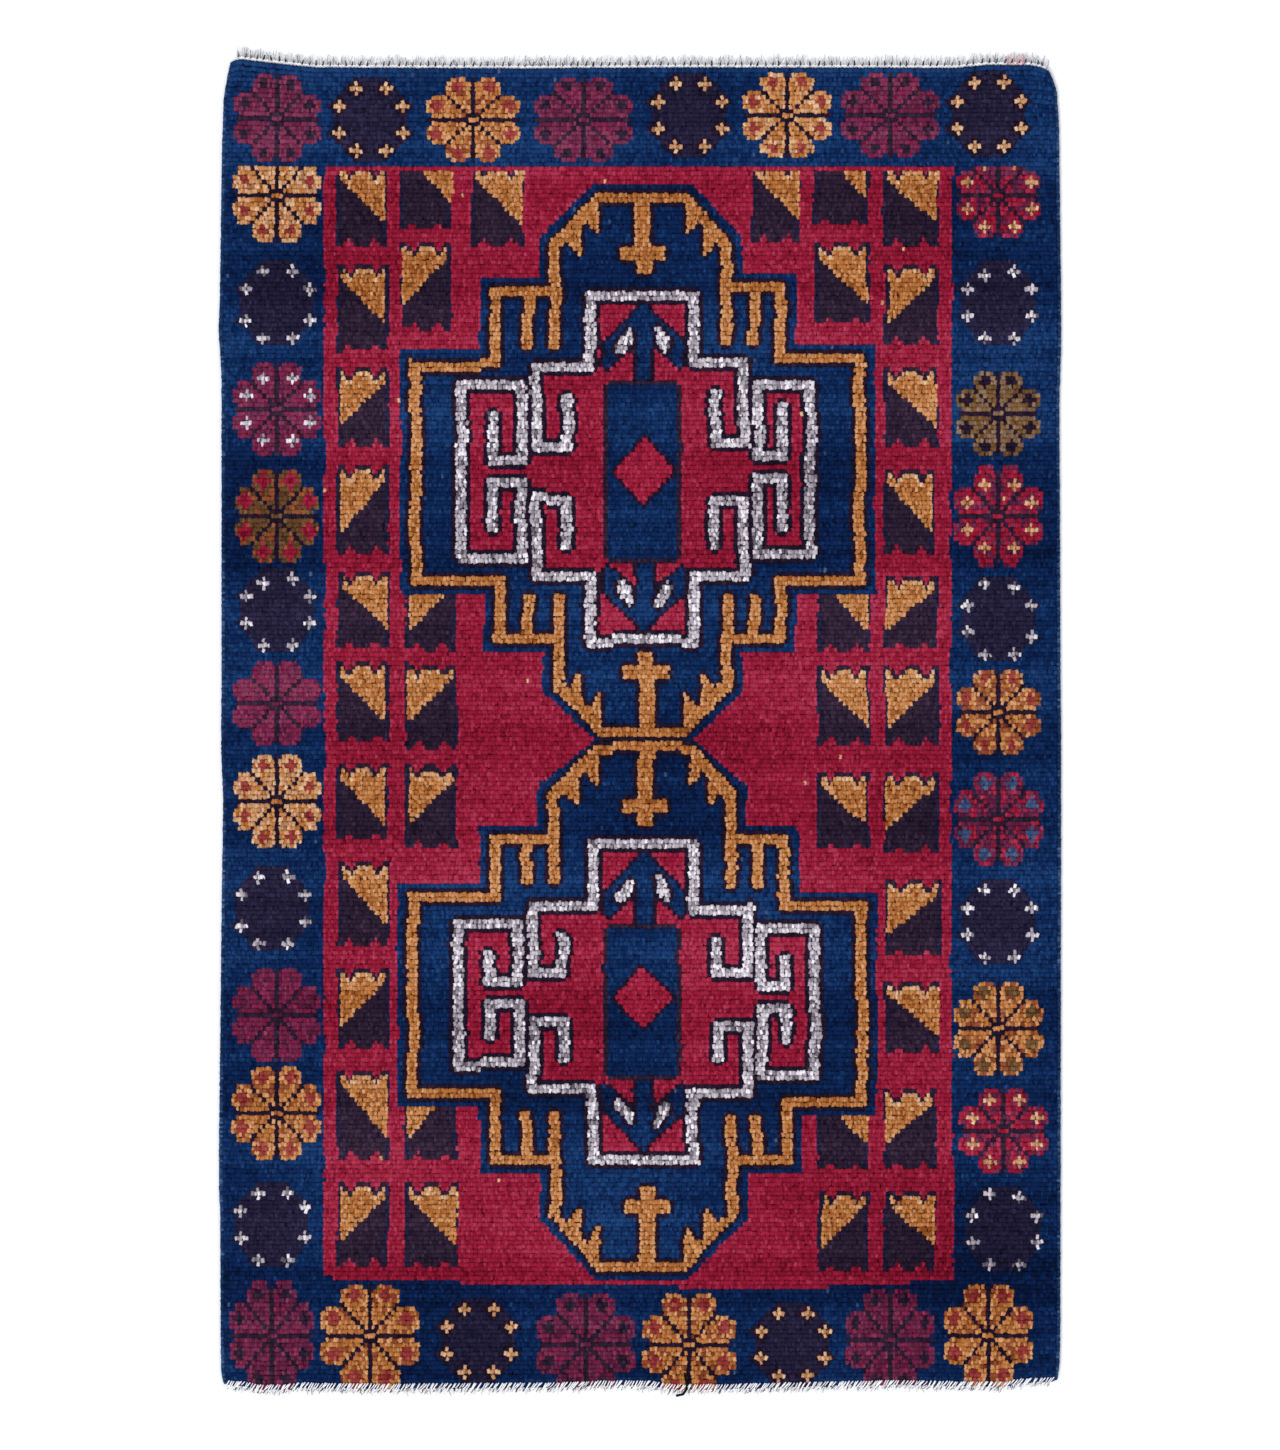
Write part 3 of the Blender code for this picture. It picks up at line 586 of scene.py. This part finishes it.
def scatterTree():
    # Sets a copy of one small shape on every point, each leaned, turned and sized a little differently.
    tree = bpy.data.node_groups.new("knotScatter", "GeometryNodeTree")
    for label, kind in (("Geometry", "Geometry"), ("Shape", "Object"), ("Finish", "Material"), ("Size", "Vector"),
                        ("Size Spread", "Float"), ("Lean", "Vector"), ("Lean Spread", "Vector"),
                        ("Loose", "Vector"), ("Seed", "Int")):
        tree.interface.new_socket(name=label, in_out="INPUT", socket_type="NodeSocket" + kind)
    tree.interface.new_socket(name="Geometry", in_out="OUTPUT", socket_type="NodeSocketGeometry")
    source = addNode(tree, "NodeGroupInput").outputs

    def between(low, high, seedStep, kind="FLOAT_VECTOR"):
        # The sockets of the random node for vectors come first, those for single numbers after them
        least, most, drawn = (2, 3, 1) if kind == "FLOAT" else (0, 1, 0)
        inputs = {least: low, most: high, "Seed": maths(tree, "ADD", source["Seed"], seedStep)}
        return addNode(tree, "FunctionNodeRandomValue", inputs, data_type=kind).outputs[drawn]

    shift = between(vectorOf(tree, "SCALE", source["Loose"], -1.0), source["Loose"], 0.0)
    lean = between(vectorOf(tree, "SUBTRACT", source["Lean"], source["Lean Spread"]),
                   vectorOf(tree, "ADD", source["Lean"], source["Lean Spread"]), 11.0)
    grown = between(maths(tree, "SUBTRACT", 1.0, source["Size Spread"]),
                    maths(tree, "ADD", 1.0, source["Size Spread"]), 23.0, "FLOAT")
    fetched = addNode(tree, "GeometryNodeObjectInfo", {"Object": source["Shape"]}, transform_space="ORIGINAL")
    turn = addNode(tree, "FunctionNodeEulerToRotation", {"Euler": lean})
    placed = addNode(tree, "GeometryNodeSetPosition", {"Geometry": source["Geometry"], "Offset": shift})
    spread = addNode(tree, "GeometryNodeInstanceOnPoints", {
        "Points": placed.outputs["Geometry"], "Instance": fetched.outputs["Geometry"],
        "Rotation": turn.outputs["Rotation"], "Scale": vectorOf(tree, "SCALE", source["Size"], grown)})
    real = addNode(tree, "GeometryNodeRealizeInstances", {"Geometry": spread.outputs["Instances"]})
    finished = addNode(tree, "GeometryNodeSetMaterial", {
        "Geometry": real.outputs["Geometry"], "Material": source["Finish"]})
    addNode(tree, "NodeGroupOutput", {"Geometry": finished.outputs["Geometry"]})
    return tree


scatter = scatterTree()
socketNames = {item.name: item.identifier for item in scatter.interface.items_tree if item.in_out == "INPUT"}


def scattered(name, places, shades, settings):
    # Runs the scatter over the given places and keeps the result as a plain mesh.
    seedMesh = bpy.data.meshes.new(name)
    seedMesh.vertices.add(len(places))
    seedMesh.vertices.foreach_set("co", places.astype(np.float32).ravel())
    shadeLayer = seedMesh.attributes.new("shade", "FLOAT", "POINT")
    shadeLayer.data.foreach_set("value", shades.astype(np.float32))
    piece = newObject(name, seedMesh)
    modifier = piece.modifiers.new("scatter", "NODES")
    modifier.node_group = scatter
    for label, value in settings.items():
        modifier[socketNames[label]] = value
    graph = bpy.context.evaluated_depsgraph_get()
    solid = bpy.data.meshes.new_from_object(piece.evaluated_get(graph), preserve_all_data_layers=True,
                                            depsgraph=graph)
    piece.modifiers.clear()
    piece.data = solid
    solid.name = name
    bpy.data.meshes.remove(seedMesh)
    # Every copy gets its own square of the piece's flat layout
    flat = solid.uv_layers["OFBake"].data
    corners = np.empty(len(flat) * 2, np.float32)
    flat.foreach_get("uv", corners)
    corners = corners.reshape(len(places), -1, 2)
    squares = math.ceil(math.sqrt(len(places)))
    order = np.arange(len(places))
    corners += np.stack([order % squares, order // squares], axis=1)[:, None, :]
    flat.foreach_set("uv", (corners / squares).ravel())
    return piece


# How far each edge strays outwards from a true rectangle, in millimetres, at rows or columns along it
edges = {
    "left": ((0, -11), (2, -8), (7, -3), (18, -1), (52, 1.5), (59, 3), (63, 1.5), (70, -0.5), (140, -0.5), (153, 0),
             (164, -2.5), (190, -0.5), (243, 2.5), (252, 2.3), (258, 1), (285, 0.5), (293, 0), (296, -3)),
    "right": ((0, -12), (2, -7), (5, -2.5), (12, 0), (52, 2.5), (63, 2.5), (74, 0.5), (142, 2), (149, 2.5),
              (243, 2), (285, 1.5), (292, 0.5), (296, -2)),
    "top": ((0, 6), (3, 9), (8, 6.5), (19, 0.5), (60, -0.5), (95, 0.5), (150, 0), (156, 3), (165, 3), (168, 1),
            (171, -3)),
    "bottom": ((0, -3), (5, -1), (8, 2.5), (13, 2.5), (16, 0), (33, 1.5), (69, 0), (79, -2.5), (88, -2), (92, 2),
               (102, 2), (115, 0), (138, -3), (150, -1.5), (160, -1), (163, -5), (169, -6), (171, -7)),
}


def stray(edge, along):
    spots, reach = zip(*edges[edge])
    return np.interp(along, spots, reach) / 1000


def bowed(column, row):
    # Where a point of the lattice lies on the finished rug, with its wandering edges and rounded corners.
    x = (column - knots["across"] / 2) * knotWidth
    y = topY - row * knotHeight
    x = x - stray("left", row) * np.exp(-column / 4) + stray("right", row) * np.exp((column - knots["across"]) / 4)
    y = y + stray("top", column) * np.exp(-np.maximum(row, 0) / 7)
    y = y - stray("bottom", column) * np.exp(np.minimum(row - knots["along"], 0) / 5)
    return x, y


# Dye lots: bands of rows where the same yarn runs lighter or darker
bands = (0.10 * np.sin(rowGrid * 0.105 + 0.5) + 0.07 * np.sin(rowGrid * 0.31 + 2.1)
         + 0.05 * np.sin(rowGrid * 0.83 + columnGrid * 0.012) + 0.04 * np.sin(rowGrid * 1.9))
patches = (0.06 * np.sin(columnGrid * 0.11 + rowGrid * 0.045)
           + 0.05 * np.sin(columnGrid * 0.043 - rowGrid * 0.083 + 1.0))
# The wool of the lower right corner was dyed deeper
patches -= 0.28 * np.exp(-((columnGrid - 142) / 26) ** 2 - ((rowGrid - 262) / 20) ** 2)
knotDice = 0.13 * dice.standard_normal(chart.shape)
# Cut ends beside another wool along the row: these get the painted edge highlight
meeting = (chart != np.roll(chart, 1, axis=1)) | (chart != np.roll(chart, -1, axis=1))

tuft = newObject("tuft", tuftMesh())
edgeColumns = (columnGrid > knots["firstColumn"]) & (columnGrid < knots["lastColumn"] + 1)
border = ~field
top = rowGrid < knots["along"] / 2
everywhere = np.ones(chart.shape, bool)


def flowerNodes(wool):
    # The CAD's border flowers whose petals are of this wool.
    return ["flower_" + side + "_" + str(place) for side, run in flowers.items()
            for place, flower in enumerate(run, 1) if flowerLooks[flower[0]][0] == wool]


# The record's slot for each wool
slots = {name: slot + "_pile_wool" for slot, names in {
    "navy": ["navy", "lightBlue", "indigo"], "crimson": ["crimson", "madder", "brick"], "ivory": ["ivory"],
    "gold": ["gold", "paleGold", "rust"], "plum": ["aubergine", "plum", "shadow", "rose"], "tan": ["tan", "olive"],
}.items() for name in names}
# The stretches a wool is knotted in, and the CAD nodes that each stretch stands for
stretches = {
    "navy": [
        ("BorderEnds", border & ((rowGrid < 22) | (rowGrid > 273)), ["border_pile_top", "border_pile_bottom"]),
        ("BorderSides", border & (rowGrid > 22) & (rowGrid < 273), ["border_pile_left", "border_pile_right"]),
        ("MedallionUpper", field & top, ["medallion_ground_upper", "medallion_edging", "centre_panel_upper"]),
        ("MedallionLower", field & ~top, ["medallion_ground_lower", "centre_panel_lower"])],
    "crimson": [
        ("FieldUpper", field & top, ["field_pile", "heart_upper"]), ("FieldLower", field & ~top, ["heart_lower"]),
        ("Flowers", border, flowerNodes("crimson"))],
    "gold": [
        ("Field", field, ["gold_line_upper", "gold_line_lower"]), ("Flowers", border, flowerNodes("gold"))],
    "ivory": [
        ("Lines", field, [part + "_" + end for end in ("upper", "lower") for part in (
            "ivory_crown_top", "ivory_crown_bottom", "ivory_scroll_left", "ivory_scroll_right")]),
        ("Sprigs", border, [])],
    "plum": [("Flowers", everywhere, flowerNodes("plum"))],
    "tan": [("", everywhere, flowerNodes("tan"))],
    "olive": [("", everywhere, flowerNodes("olive"))],
    "madder": [("", everywhere, ["diamond_upper", "diamond_lower"])],
}
pieces = []
for name, (*tones, dyeLot, standing, coarse, edgeHighlight) in wools.items():
    finish = woolPile(name + " hand-spun wool", *tones)
    tumble = pile["tumble"] * (1 + 1.2 * coarse)
    for label, area, nodes in stretches.get(name, [("", everywhere, [])]):
        chosen = (chart == yarn[name]) & area & edgeColumns
        x, y = bowed(columnGrid[chosen], rowGrid[chosen])
        places = np.stack([x, y, np.full(x.shape, pile["root"])], axis=1)
        # Tone of each cut end: dye lot bands and patches, a random share, and the painted edge highlight
        shades = (0.5 + (bands + patches)[chosen] * dyeLot + knotDice[chosen] * (1 + 2.0 * coarse)
                  + edgeHighlight * meeting[chosen])
        piece = scattered("pile" + name[0].upper() + name[1:] + label, places, shades, {
            "Shape": tuft, "Finish": finish,
            "Size": (knotWidth / 2 * pile["wide"] * (1 - 0.30 * coarse),
                     knotHeight * pile["long"] * (1 - 0.05 * coarse), pile["tall"] * standing),
            "Size Spread": 0.05 + 0.05 * coarse, "Lean": (pile["lean"], 0.0, 0.0),
            "Lean Spread": (tumble, tumble, 0.45), "Loose": (pile["loose"], pile["loose"] * (1 + coarse), 0.0),
            "Seed": pile["seed"] + yarn[name]})
        pieces.append((piece, slots[name], nodes))
        print("pile", piece.name, len(places), "knot ends")

bpy.data.objects.remove(tuft)

# Ground: a weave whose underside shows the back of every knot in its own colour
cloth = {"relief": 0.0006, "span": 1.01, "rimFrom": 0.60, "rimTo": 0.61}


def groundCloth():
    wide, long = knots["across"], knots["along"]
    stride = wide + 1
    inset = (wrapHigh[0] - clothHigh[0]) / knotWidth
    x, y = bowed(*np.meshgrid(np.linspace(inset, wide - inset, stride), np.arange(long + 1.0)))
    under = np.stack([x, y, np.full(x.shape, clothLow[2])], axis=2).reshape(-1, 3)
    rim = ([(0, c) for c in range(wide)] + [(r, wide) for r in range(long)]
           + [(long, c) for c in range(wide, 0, -1)] + [(r, 0) for r in range(long, 0, -1)])
    upper = np.array([(x[r, c], y[r, c], clothHigh[2]) for r, c in rim])
    row, column = np.divmod(np.arange(long * wide)[:, None], wide)
    faces = (row * stride + column + [0, 1, 1 + stride, stride]).tolist()
    backLayout = np.stack([column + [0, 1, 1, 0], row + [0, 0, 1, 1]], axis=2).reshape(-1, 2)
    base, rimLayout = len(under), []
    for step, (r, c) in enumerate(rim):
        following = (step + 1) % len(rim)
        nextRow, nextColumn = rim[following]
        faces.append((r * stride + c, base + step, base + following, nextRow * stride + nextColumn))
        start, finish = step / len(rim), (step + 1) / len(rim)
        rimLayout += [(cloth["rimFrom"], start), (cloth["rimTo"], start), (cloth["rimTo"], finish),
                      (cloth["rimFrom"], finish)]
    faces.append(tuple(base + step for step in range(len(rim) - 1, -1, -1)))
    topLayout = [(0.64 + 0.34 * (c / wide), 0.02 + 0.6 * (1 - r / long)) for r, c in rim[::-1]]
    mesh = bpy.data.meshes.new("groundCloth")
    mesh.from_pydata(np.concatenate([under, upper]).tolist(), [], faces)
    flat = mesh.uv_layers.new(name="OFBake")
    backLayout = backLayout / (long * cloth["span"])
    flat.data.foreach_set("uv", np.concatenate([backLayout, rimLayout, topLayout]).ravel())
    # The back of a knot shows one colour: that of its first cut end
    backs = np.array([linearColour(wool[1]) for wool in wools.values()])[chart[:, ::2]].reshape(-1, 4)
    edge = np.tile(linearColour(wools["shadow"][1]), (len(faces) - len(backs), 1))
    colours = mesh.color_attributes.new("knotColour", "FLOAT_COLOR", "CORNER")
    corners = [len(face) for face in faces]
    colours.data.foreach_set("color", np.repeat(np.concatenate([backs, edge]), corners, axis=0).ravel())
    return mesh


def knotBackMaterial():
    # The weave seen from below: two little bumps to a knot, darkened in the grooves between the bumps and the rows
    # as painted shade.
    material, tree, shader = newMaterial("hand-knotted ground, wefts and knot backs")
    colour = addNode(tree, "ShaderNodeAttribute", attribute_name="knotColour")
    spot = addNode(tree, "ShaderNodeTexCoord").outputs["Object"]
    place = addNode(tree, "ShaderNodeSeparateXYZ", {"Vector": spot})
    ribs = []
    for axis, pitch, phase in (("X", knotWidth / 2, 0.0), ("Y", knotHeight, -math.pi * topY / knotHeight)):
        angle = maths(tree, "MULTIPLY_ADD", place.outputs[axis], math.pi / pitch, phase)
        ribs.append(maths(tree, "ABSOLUTE", maths(tree, "SINE", angle)))
    height = maths(tree, "MULTIPLY", *ribs)
    fibres = addNode(tree, "ShaderNodeTexNoise", {"Vector": spot, "Scale": 900.0, "Detail": 3.0})
    # Painted shade: darker where the bumps dip, down in the grooves between them
    grooveShade = ranged(tree, height, 0.05, 0.5, 0.35, 1.0)
    streak = ranged(tree, fibres.outputs["Fac"], 0.3, 0.7, 0.8, 1.15)
    surface(tree, shader, colour.outputs["Color"], maths(tree, "MULTIPLY", grooveShade, streak), height,
            {"Strength": 0.8, "Distance": cloth["relief"]}, {"Roughness": 0.95, "Specular IOR Level": 0.15})
    return material


ground = newObject("groundCloth", groundCloth(), knotBackMaterial())
pieces.append((ground, "woven_ground", ["ground_cloth"]))
print("ground cloth", len(ground.data.polygons), "faces")

# Selvedges: a core of warps bound over and over with navy yarn
selvedge = {"turns": 2, "sides": 5, "segments": 8, "bandWidth": 1.25, "slant": 0.10, "column": 0.62,
            "coreRings": 75, "coreSides": 8, "coreShare": 0.8}


def bandMesh():
    # One turn of binding yarn about a unit round core that runs along Y.
    rings = []
    for step in range(selvedge["segments"]):
        turn = 2 * math.pi * step / selvedge["segments"]
        ring = []
        for side in range(selvedge["sides"]):
            swing = 2 * math.pi * side / selvedge["sides"]
            reach = 0.41 + 0.09 * math.cos(swing)
            ring.append((reach * math.cos(turn), 0.5 * math.sin(swing), reach * math.sin(turn)))
        rings.append(ring)
    return shapeMesh("turn", *tubeParts(rings, looped=True))


turnShape = newObject("turn", bandMesh())
coreLow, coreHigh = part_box("selvedge_core_left")
turnMiddle = (wrapLow[2] + wrapInner[2]) / 2
coreRadius = (coreHigh[0] - coreLow[0]) / 2 * selvedge["coreShare"]
# The two heights of a yarn that lies open to the light
lit = (-0.002, 0.001)
bindingFinish = woolPile("navy binding wool", "#0a1c40", "#1b3763", "#4a6a94", lit)
coreFinish = woolPile("undyed warp wool", "#8d877c", "#c9c3b6", "#ece7dc", lit)
for side, column in (("left", selvedge["column"]), ("right", knots["across"] - selvedge["column"])):
    count = knots["along"] * selvedge["turns"]
    rows = (np.arange(count) + 0.5) / selvedge["turns"]
    x, y = bowed(np.full(count, column), rows)
    places = np.stack([x, y, np.full(count, turnMiddle)], axis=1)
    shades = 0.45 + 0.16 * dice.standard_normal(count) + 0.12 * np.sin(rows * 0.11)
    wrap = scattered("selvedgeWrap" + side.title(), places, shades, {
        "Shape": turnShape, "Finish": bindingFinish,
        "Size": (wrapInner[0] - wrapLow[0], knotHeight / selvedge["turns"] * selvedge["bandWidth"],
                 wrapInner[2] - wrapLow[2]),
        "Size Spread": 0.05, "Lean": (0.0, 0.0, selvedge["slant"]), "Lean Spread": (0.03, 0.2, 0.07),
        "Loose": (0.0002, 0.0002, 0.0), "Seed": 71})
    pieces.append((wrap, "navy_overcast_wool", ["selvedge_wrap_" + side]))
    rows = np.linspace(0, knots["along"], selvedge["coreRings"])
    x, y = bowed(np.full(rows.shape, column), rows)
    rings = ringsAlong(np.stack([x, y, np.full(rows.shape, turnMiddle)], axis=1), coreRadius, selvedge["coreSides"])
    core = newObject("selvedgeCore" + side.title(), shapeMesh("core", *tubeParts(rings)), coreFinish)
    pieces.append((core, "undyed_warp_wool", ["selvedge_core_" + side]))
bpy.data.objects.remove(turnShape)
print("selvedges bound")

# Ends: a twined cord locks the last weft, and the cut warps stand out beyond it as a short fringe
ends = {"strand": 0.00115, "twist": 0.00100, "pitch": 0.0072, "step": 0.0009, "sides": 6, "inset": 1.0,
        "rise": 0.0018, "cordOut": 0.0019, "cordShade": 0.8}
cordFinish = woolPile("undyed warp wool, twined", "#b4b1b8", "#f0eef2", "#ffffff", lit)
# The cut ends are the cord's undyed wool greyed with painted shade, for the shade among the tangled fringe
warpFinish = woolPile("undyed warp wool, cut ends, greyed by painted shade", "#55535a", "#a5a3a9", "#e6e4e8", lit)
# Painted shade: a darker copy of the undyed warp wool, for strands that stand in for shade between the white ends
greyFinish = woolPile("undyed warp wool in painted shade", "#3c3a40", "#77757b", "#a9a7ad", lit)
# Dark yarn for the loose end and the top fringe's dark strands; under the bottom fringe its strands stand in for
# painted shade
darkFinish = woolPile("dark natural wool, and painted shade under the fringe", "#0e0e11", "#26252a", "#4a484e", lit)
pinkFinish = woolPile("warp wool stained by the red dye", "#a05060", "#d08c98", "#eac4ca", lit)


def twinedCord(name, node, row):
    # Two strands of warp wool twisted about each other along the end of the pile.
    low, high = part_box(node)
    count = int((high[0] - low[0]) / ends["step"])
    columns = np.linspace(ends["inset"], knots["across"] - ends["inset"], count)
    x, y = bowed(columns, np.full(count, row))
    middle = (low[2] + high[2]) / 2 + ends["rise"]
    points, faces, layout = [], [], []
    for strand in range(2):
        turn = strand * math.pi + (x - x[0]) / ends["pitch"] * 2 * math.pi
        path = np.stack([x, y + ends["twist"] * np.cos(turn), middle + ends["twist"] * np.sin(turn)], axis=1)
        found, joins, flat = tubeParts(ringsAlong(path, ends["strand"], ends["sides"]))
        faces += [[corner + len(points) for corner in face] for face in joins]
        points += found
        # The two strands share the flat layout side by side
        layout += [[(u, (v + strand) / 2) for u, v in corners] for corners in flat]
    mesh = shapeMesh(name, points, faces, layout)
    shade = mesh.attributes.new("shade", "FLOAT", "POINT")
    shade.data.foreach_set("value", np.full(len(points), ends["cordShade"], np.float32))
    return newObject(name, mesh, cordFinish)


cordRow = ends["cordOut"] / knotHeight
for end, row in (("Top", -cordRow), ("Bottom", knots["along"] + cordRow * 0.6)):
    node = "twined_cord_" + end.lower()
    pieces.append((twinedCord("twinedCord" + end, node, row), "undyed_warp_wool", [node]))


def strandMesh(bend, curl, drop):
    # A cut warp end a unit long, thick at its root and thinning to a frayed tip.
    rings = []
    for share in (0.0, 0.3, 0.6, 0.85, 1.0):
        radius = 0.5 * (1 - 0.45 * share)
        aside = bend * share ** 2 + curl * math.sin(share * 5.5)
        height = 0.8 * math.sin(share * math.pi) - drop * share ** 2
        rings.append([(aside + radius * math.cos(-math.pi / 2 * side), share,
                       height + radius * math.sin(-math.pi / 2 * side)) for side in range(4)])
    return shapeMesh("strand", *tubeParts(rings))


strandForms = [(0.6, 0.2, 0.0), (-1.6, 0.5, 0.6), (2.2, -0.4, 0.4), (0.9, 0.1, 4.0)]
strands = [newObject("strand" + str(index), strandMesh(*form)) for index, form in enumerate(strandForms)]
# Each run of fringe: label, end, form, wool, how many, first and last column, rows in from the end; then height,
# length and width in metres, lean and its spread in radians
fringes = [
    ("TopFirst", "Top", 0, "warp", 250, 2.0, 170.0, 0.0,
     0.0030, 0.0122, 0.0008, (0.0, 0.0, 0.02), (0.16, 0.2, 0.22)),
    # Grey strands among the top ends: painted shade between them
    ("TopSecond", "Top", 1, "grey", 210, 2.0, 170.0, 0.0,
     0.0024, 0.0100, 0.0008, (0.05, 0.0, -0.15), (0.20, 0.3, 0.50)),
    ("TopThird", "Top", 2, "warp", 240, 2.5, 169.5, 0.0,
     0.0030, 0.0118, 0.0007, (0.0, 0.0, 0.10), (0.20, 0.3, 0.55)),
    ("TopDark", "Top", 0, "dark", 110, 2.5, 169.0, -0.55,
     0.0062, 0.0044, 0.0016, (-0.1, 0.0, -0.05), (0.10, 0.1, 0.30)),
    ("TopStained", "Top", 1, "pink", 12, 160.4, 164.2, 0.0,
     0.0045, 0.0100, 0.0011, (0.1, 0.0, -0.25), (0.06, 0.1, 0.15)),
    ("BottomFirst", "Bottom", 3, "white", 300, 1.5, 170.0, 1.0,
     0.0102, 0.0094, 0.0014, (0.0, 0.0, 2.62), (0.05, 0.2, 0.16)),
    # The next three runs lie under the white bottom ends as painted shade between them
    ("BottomSecond", "Bottom", 1, "warp", 140, 2.0, 169.5, 0.2,
     0.0060, 0.0085, 0.0010, (-0.30, 0.0, 2.75), (0.10, 0.2, 0.40)),
    ("BottomThird", "Bottom", 0, "grey", 230, 2.0, 169.5, 0.0,
     0.0036, 0.0062, 0.0012, (-0.20, 0.0, 2.62), (0.10, 0.2, 0.25)),
    ("BottomDark", "Bottom", 0, "dark", 130, 3.0, 169.0, 0.0,
     0.0048, 0.0048, 0.0012, (0.0, 0.0, 2.62), (0.05, 0.1, 0.30)),
]
fringeWools = {"warp": warpFinish, "white": cordFinish, "grey": greyFinish, "dark": darkFinish, "pink": pinkFinish}
for label, end, form, wool, count, first, last, inset, height, length, width, lean, spread in fringes:
    columns = np.linspace(first, last, count) + 0.12 * dice.standard_normal(count)
    rows = np.full(count, inset if end == "Top" else knots["along"] - inset)
    x, y = bowed(columns, rows)
    places = np.stack([x, y, height + 0.0003 * dice.random(count)], axis=1)
    shades = 0.70 + 0.22 * dice.standard_normal(count)
    piece = scattered("fringe" + label, places, shades, {
        "Shape": strands[form], "Finish": fringeWools[wool], "Size": (width, length, width), "Size Spread": 0.22,
        "Lean": lean, "Lean Spread": spread, "Loose": (0.0003, 0.0004, 0.0), "Seed": 90 + len(pieces)})
    nodes = ["warp_fringe_" + end.lower()] if label in ("TopFirst", "BottomFirst") else []
    pieces.append((piece, "undyed_warp_wool", nodes))
for strand in strands:
    bpy.data.objects.remove(strand)

# A dark yarn end left hanging at the bottom
looseX, looseY = bowed(np.array([94.6, 95.0, 95.0, 94.3, 92.9]), np.array([292.6, 294.6, 296.0, 297.2, 297.6]))
loosePath = np.stack([looseX, looseY, [0.0094, 0.0106, 0.0104, 0.0085, 0.0060]], axis=1)
looseRings = ringsAlong(loosePath, 0.0013, ends["sides"])
looseEnd = newObject("looseYarnEnd", shapeMesh("looseYarnEnd", *tubeParts(looseRings)), darkFinish)
pieces.append((looseEnd, "navy_overcast_wool", []))
print("ends made")

for piece, slotName, nodes in pieces:
    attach(piece, "root")
    if nodes:
        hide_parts(*nodes)

# A pale floor under the rug, washed out by even light
room = {"floorReach": 3.0, "floorDrop": 0.0002, "cameraHeight": 6.0, "frameHeight": 1.4535, "sensor": 36.0}
reach, drop = room["floorReach"], room["floorDrop"]
floorPlane = bpy.data.meshes.new("floor")
floorPlane.from_pydata([(x * reach, y * reach, -drop) for x, y in ((-1, -1), (1, -1), (1, 1), (-1, 1))], [],
                       [(0, 1, 2, 3)])
floorFinish, _, floorShader = newMaterial("white seamless paper")
floorShader.inputs["Base Color"].default_value = linearColour("#f4f4f4")
floorShader.inputs["Roughness"].default_value = 0.9
floor = newObject("floor", floorPlane, floorFinish)

# Straight above the rug with a long lens
lens = bpy.data.cameras.new("camera")
camera = newObject("camera", lens)
camera.location = (0.0, 0.0, room["cameraHeight"])
lens.sensor_fit = "VERTICAL"
lens.sensor_height = room["sensor"]
lens.lens = room["sensor"] * room["cameraHeight"] / room["frameHeight"]
lens.clip_end = 50.0
bpy.context.scene.camera = camera

world = bpy.data.worlds.new("studio")
world.use_nodes = True
sky = world.node_tree.nodes["Background"].inputs
sky["Color"].default_value = linearColour("#f2f5fb")
sky["Strength"].default_value = 0.78
bpy.context.scene.world = world


def sunLamp(name, strength, softness, turn):
    lamp = bpy.data.lights.new(name, "SUN")
    lamp.energy = strength
    lamp.angle = softness
    newObject(name, lamp).rotation_euler = turn


sunLamp("key light", 1.7, 0.5, (0.50, -0.45, 0.0))
sunLamp("fill light", 0.5, 1.0, (-0.6, 0.5, 0.0))
bpy.context.scene.view_settings.view_transform = "Standard"
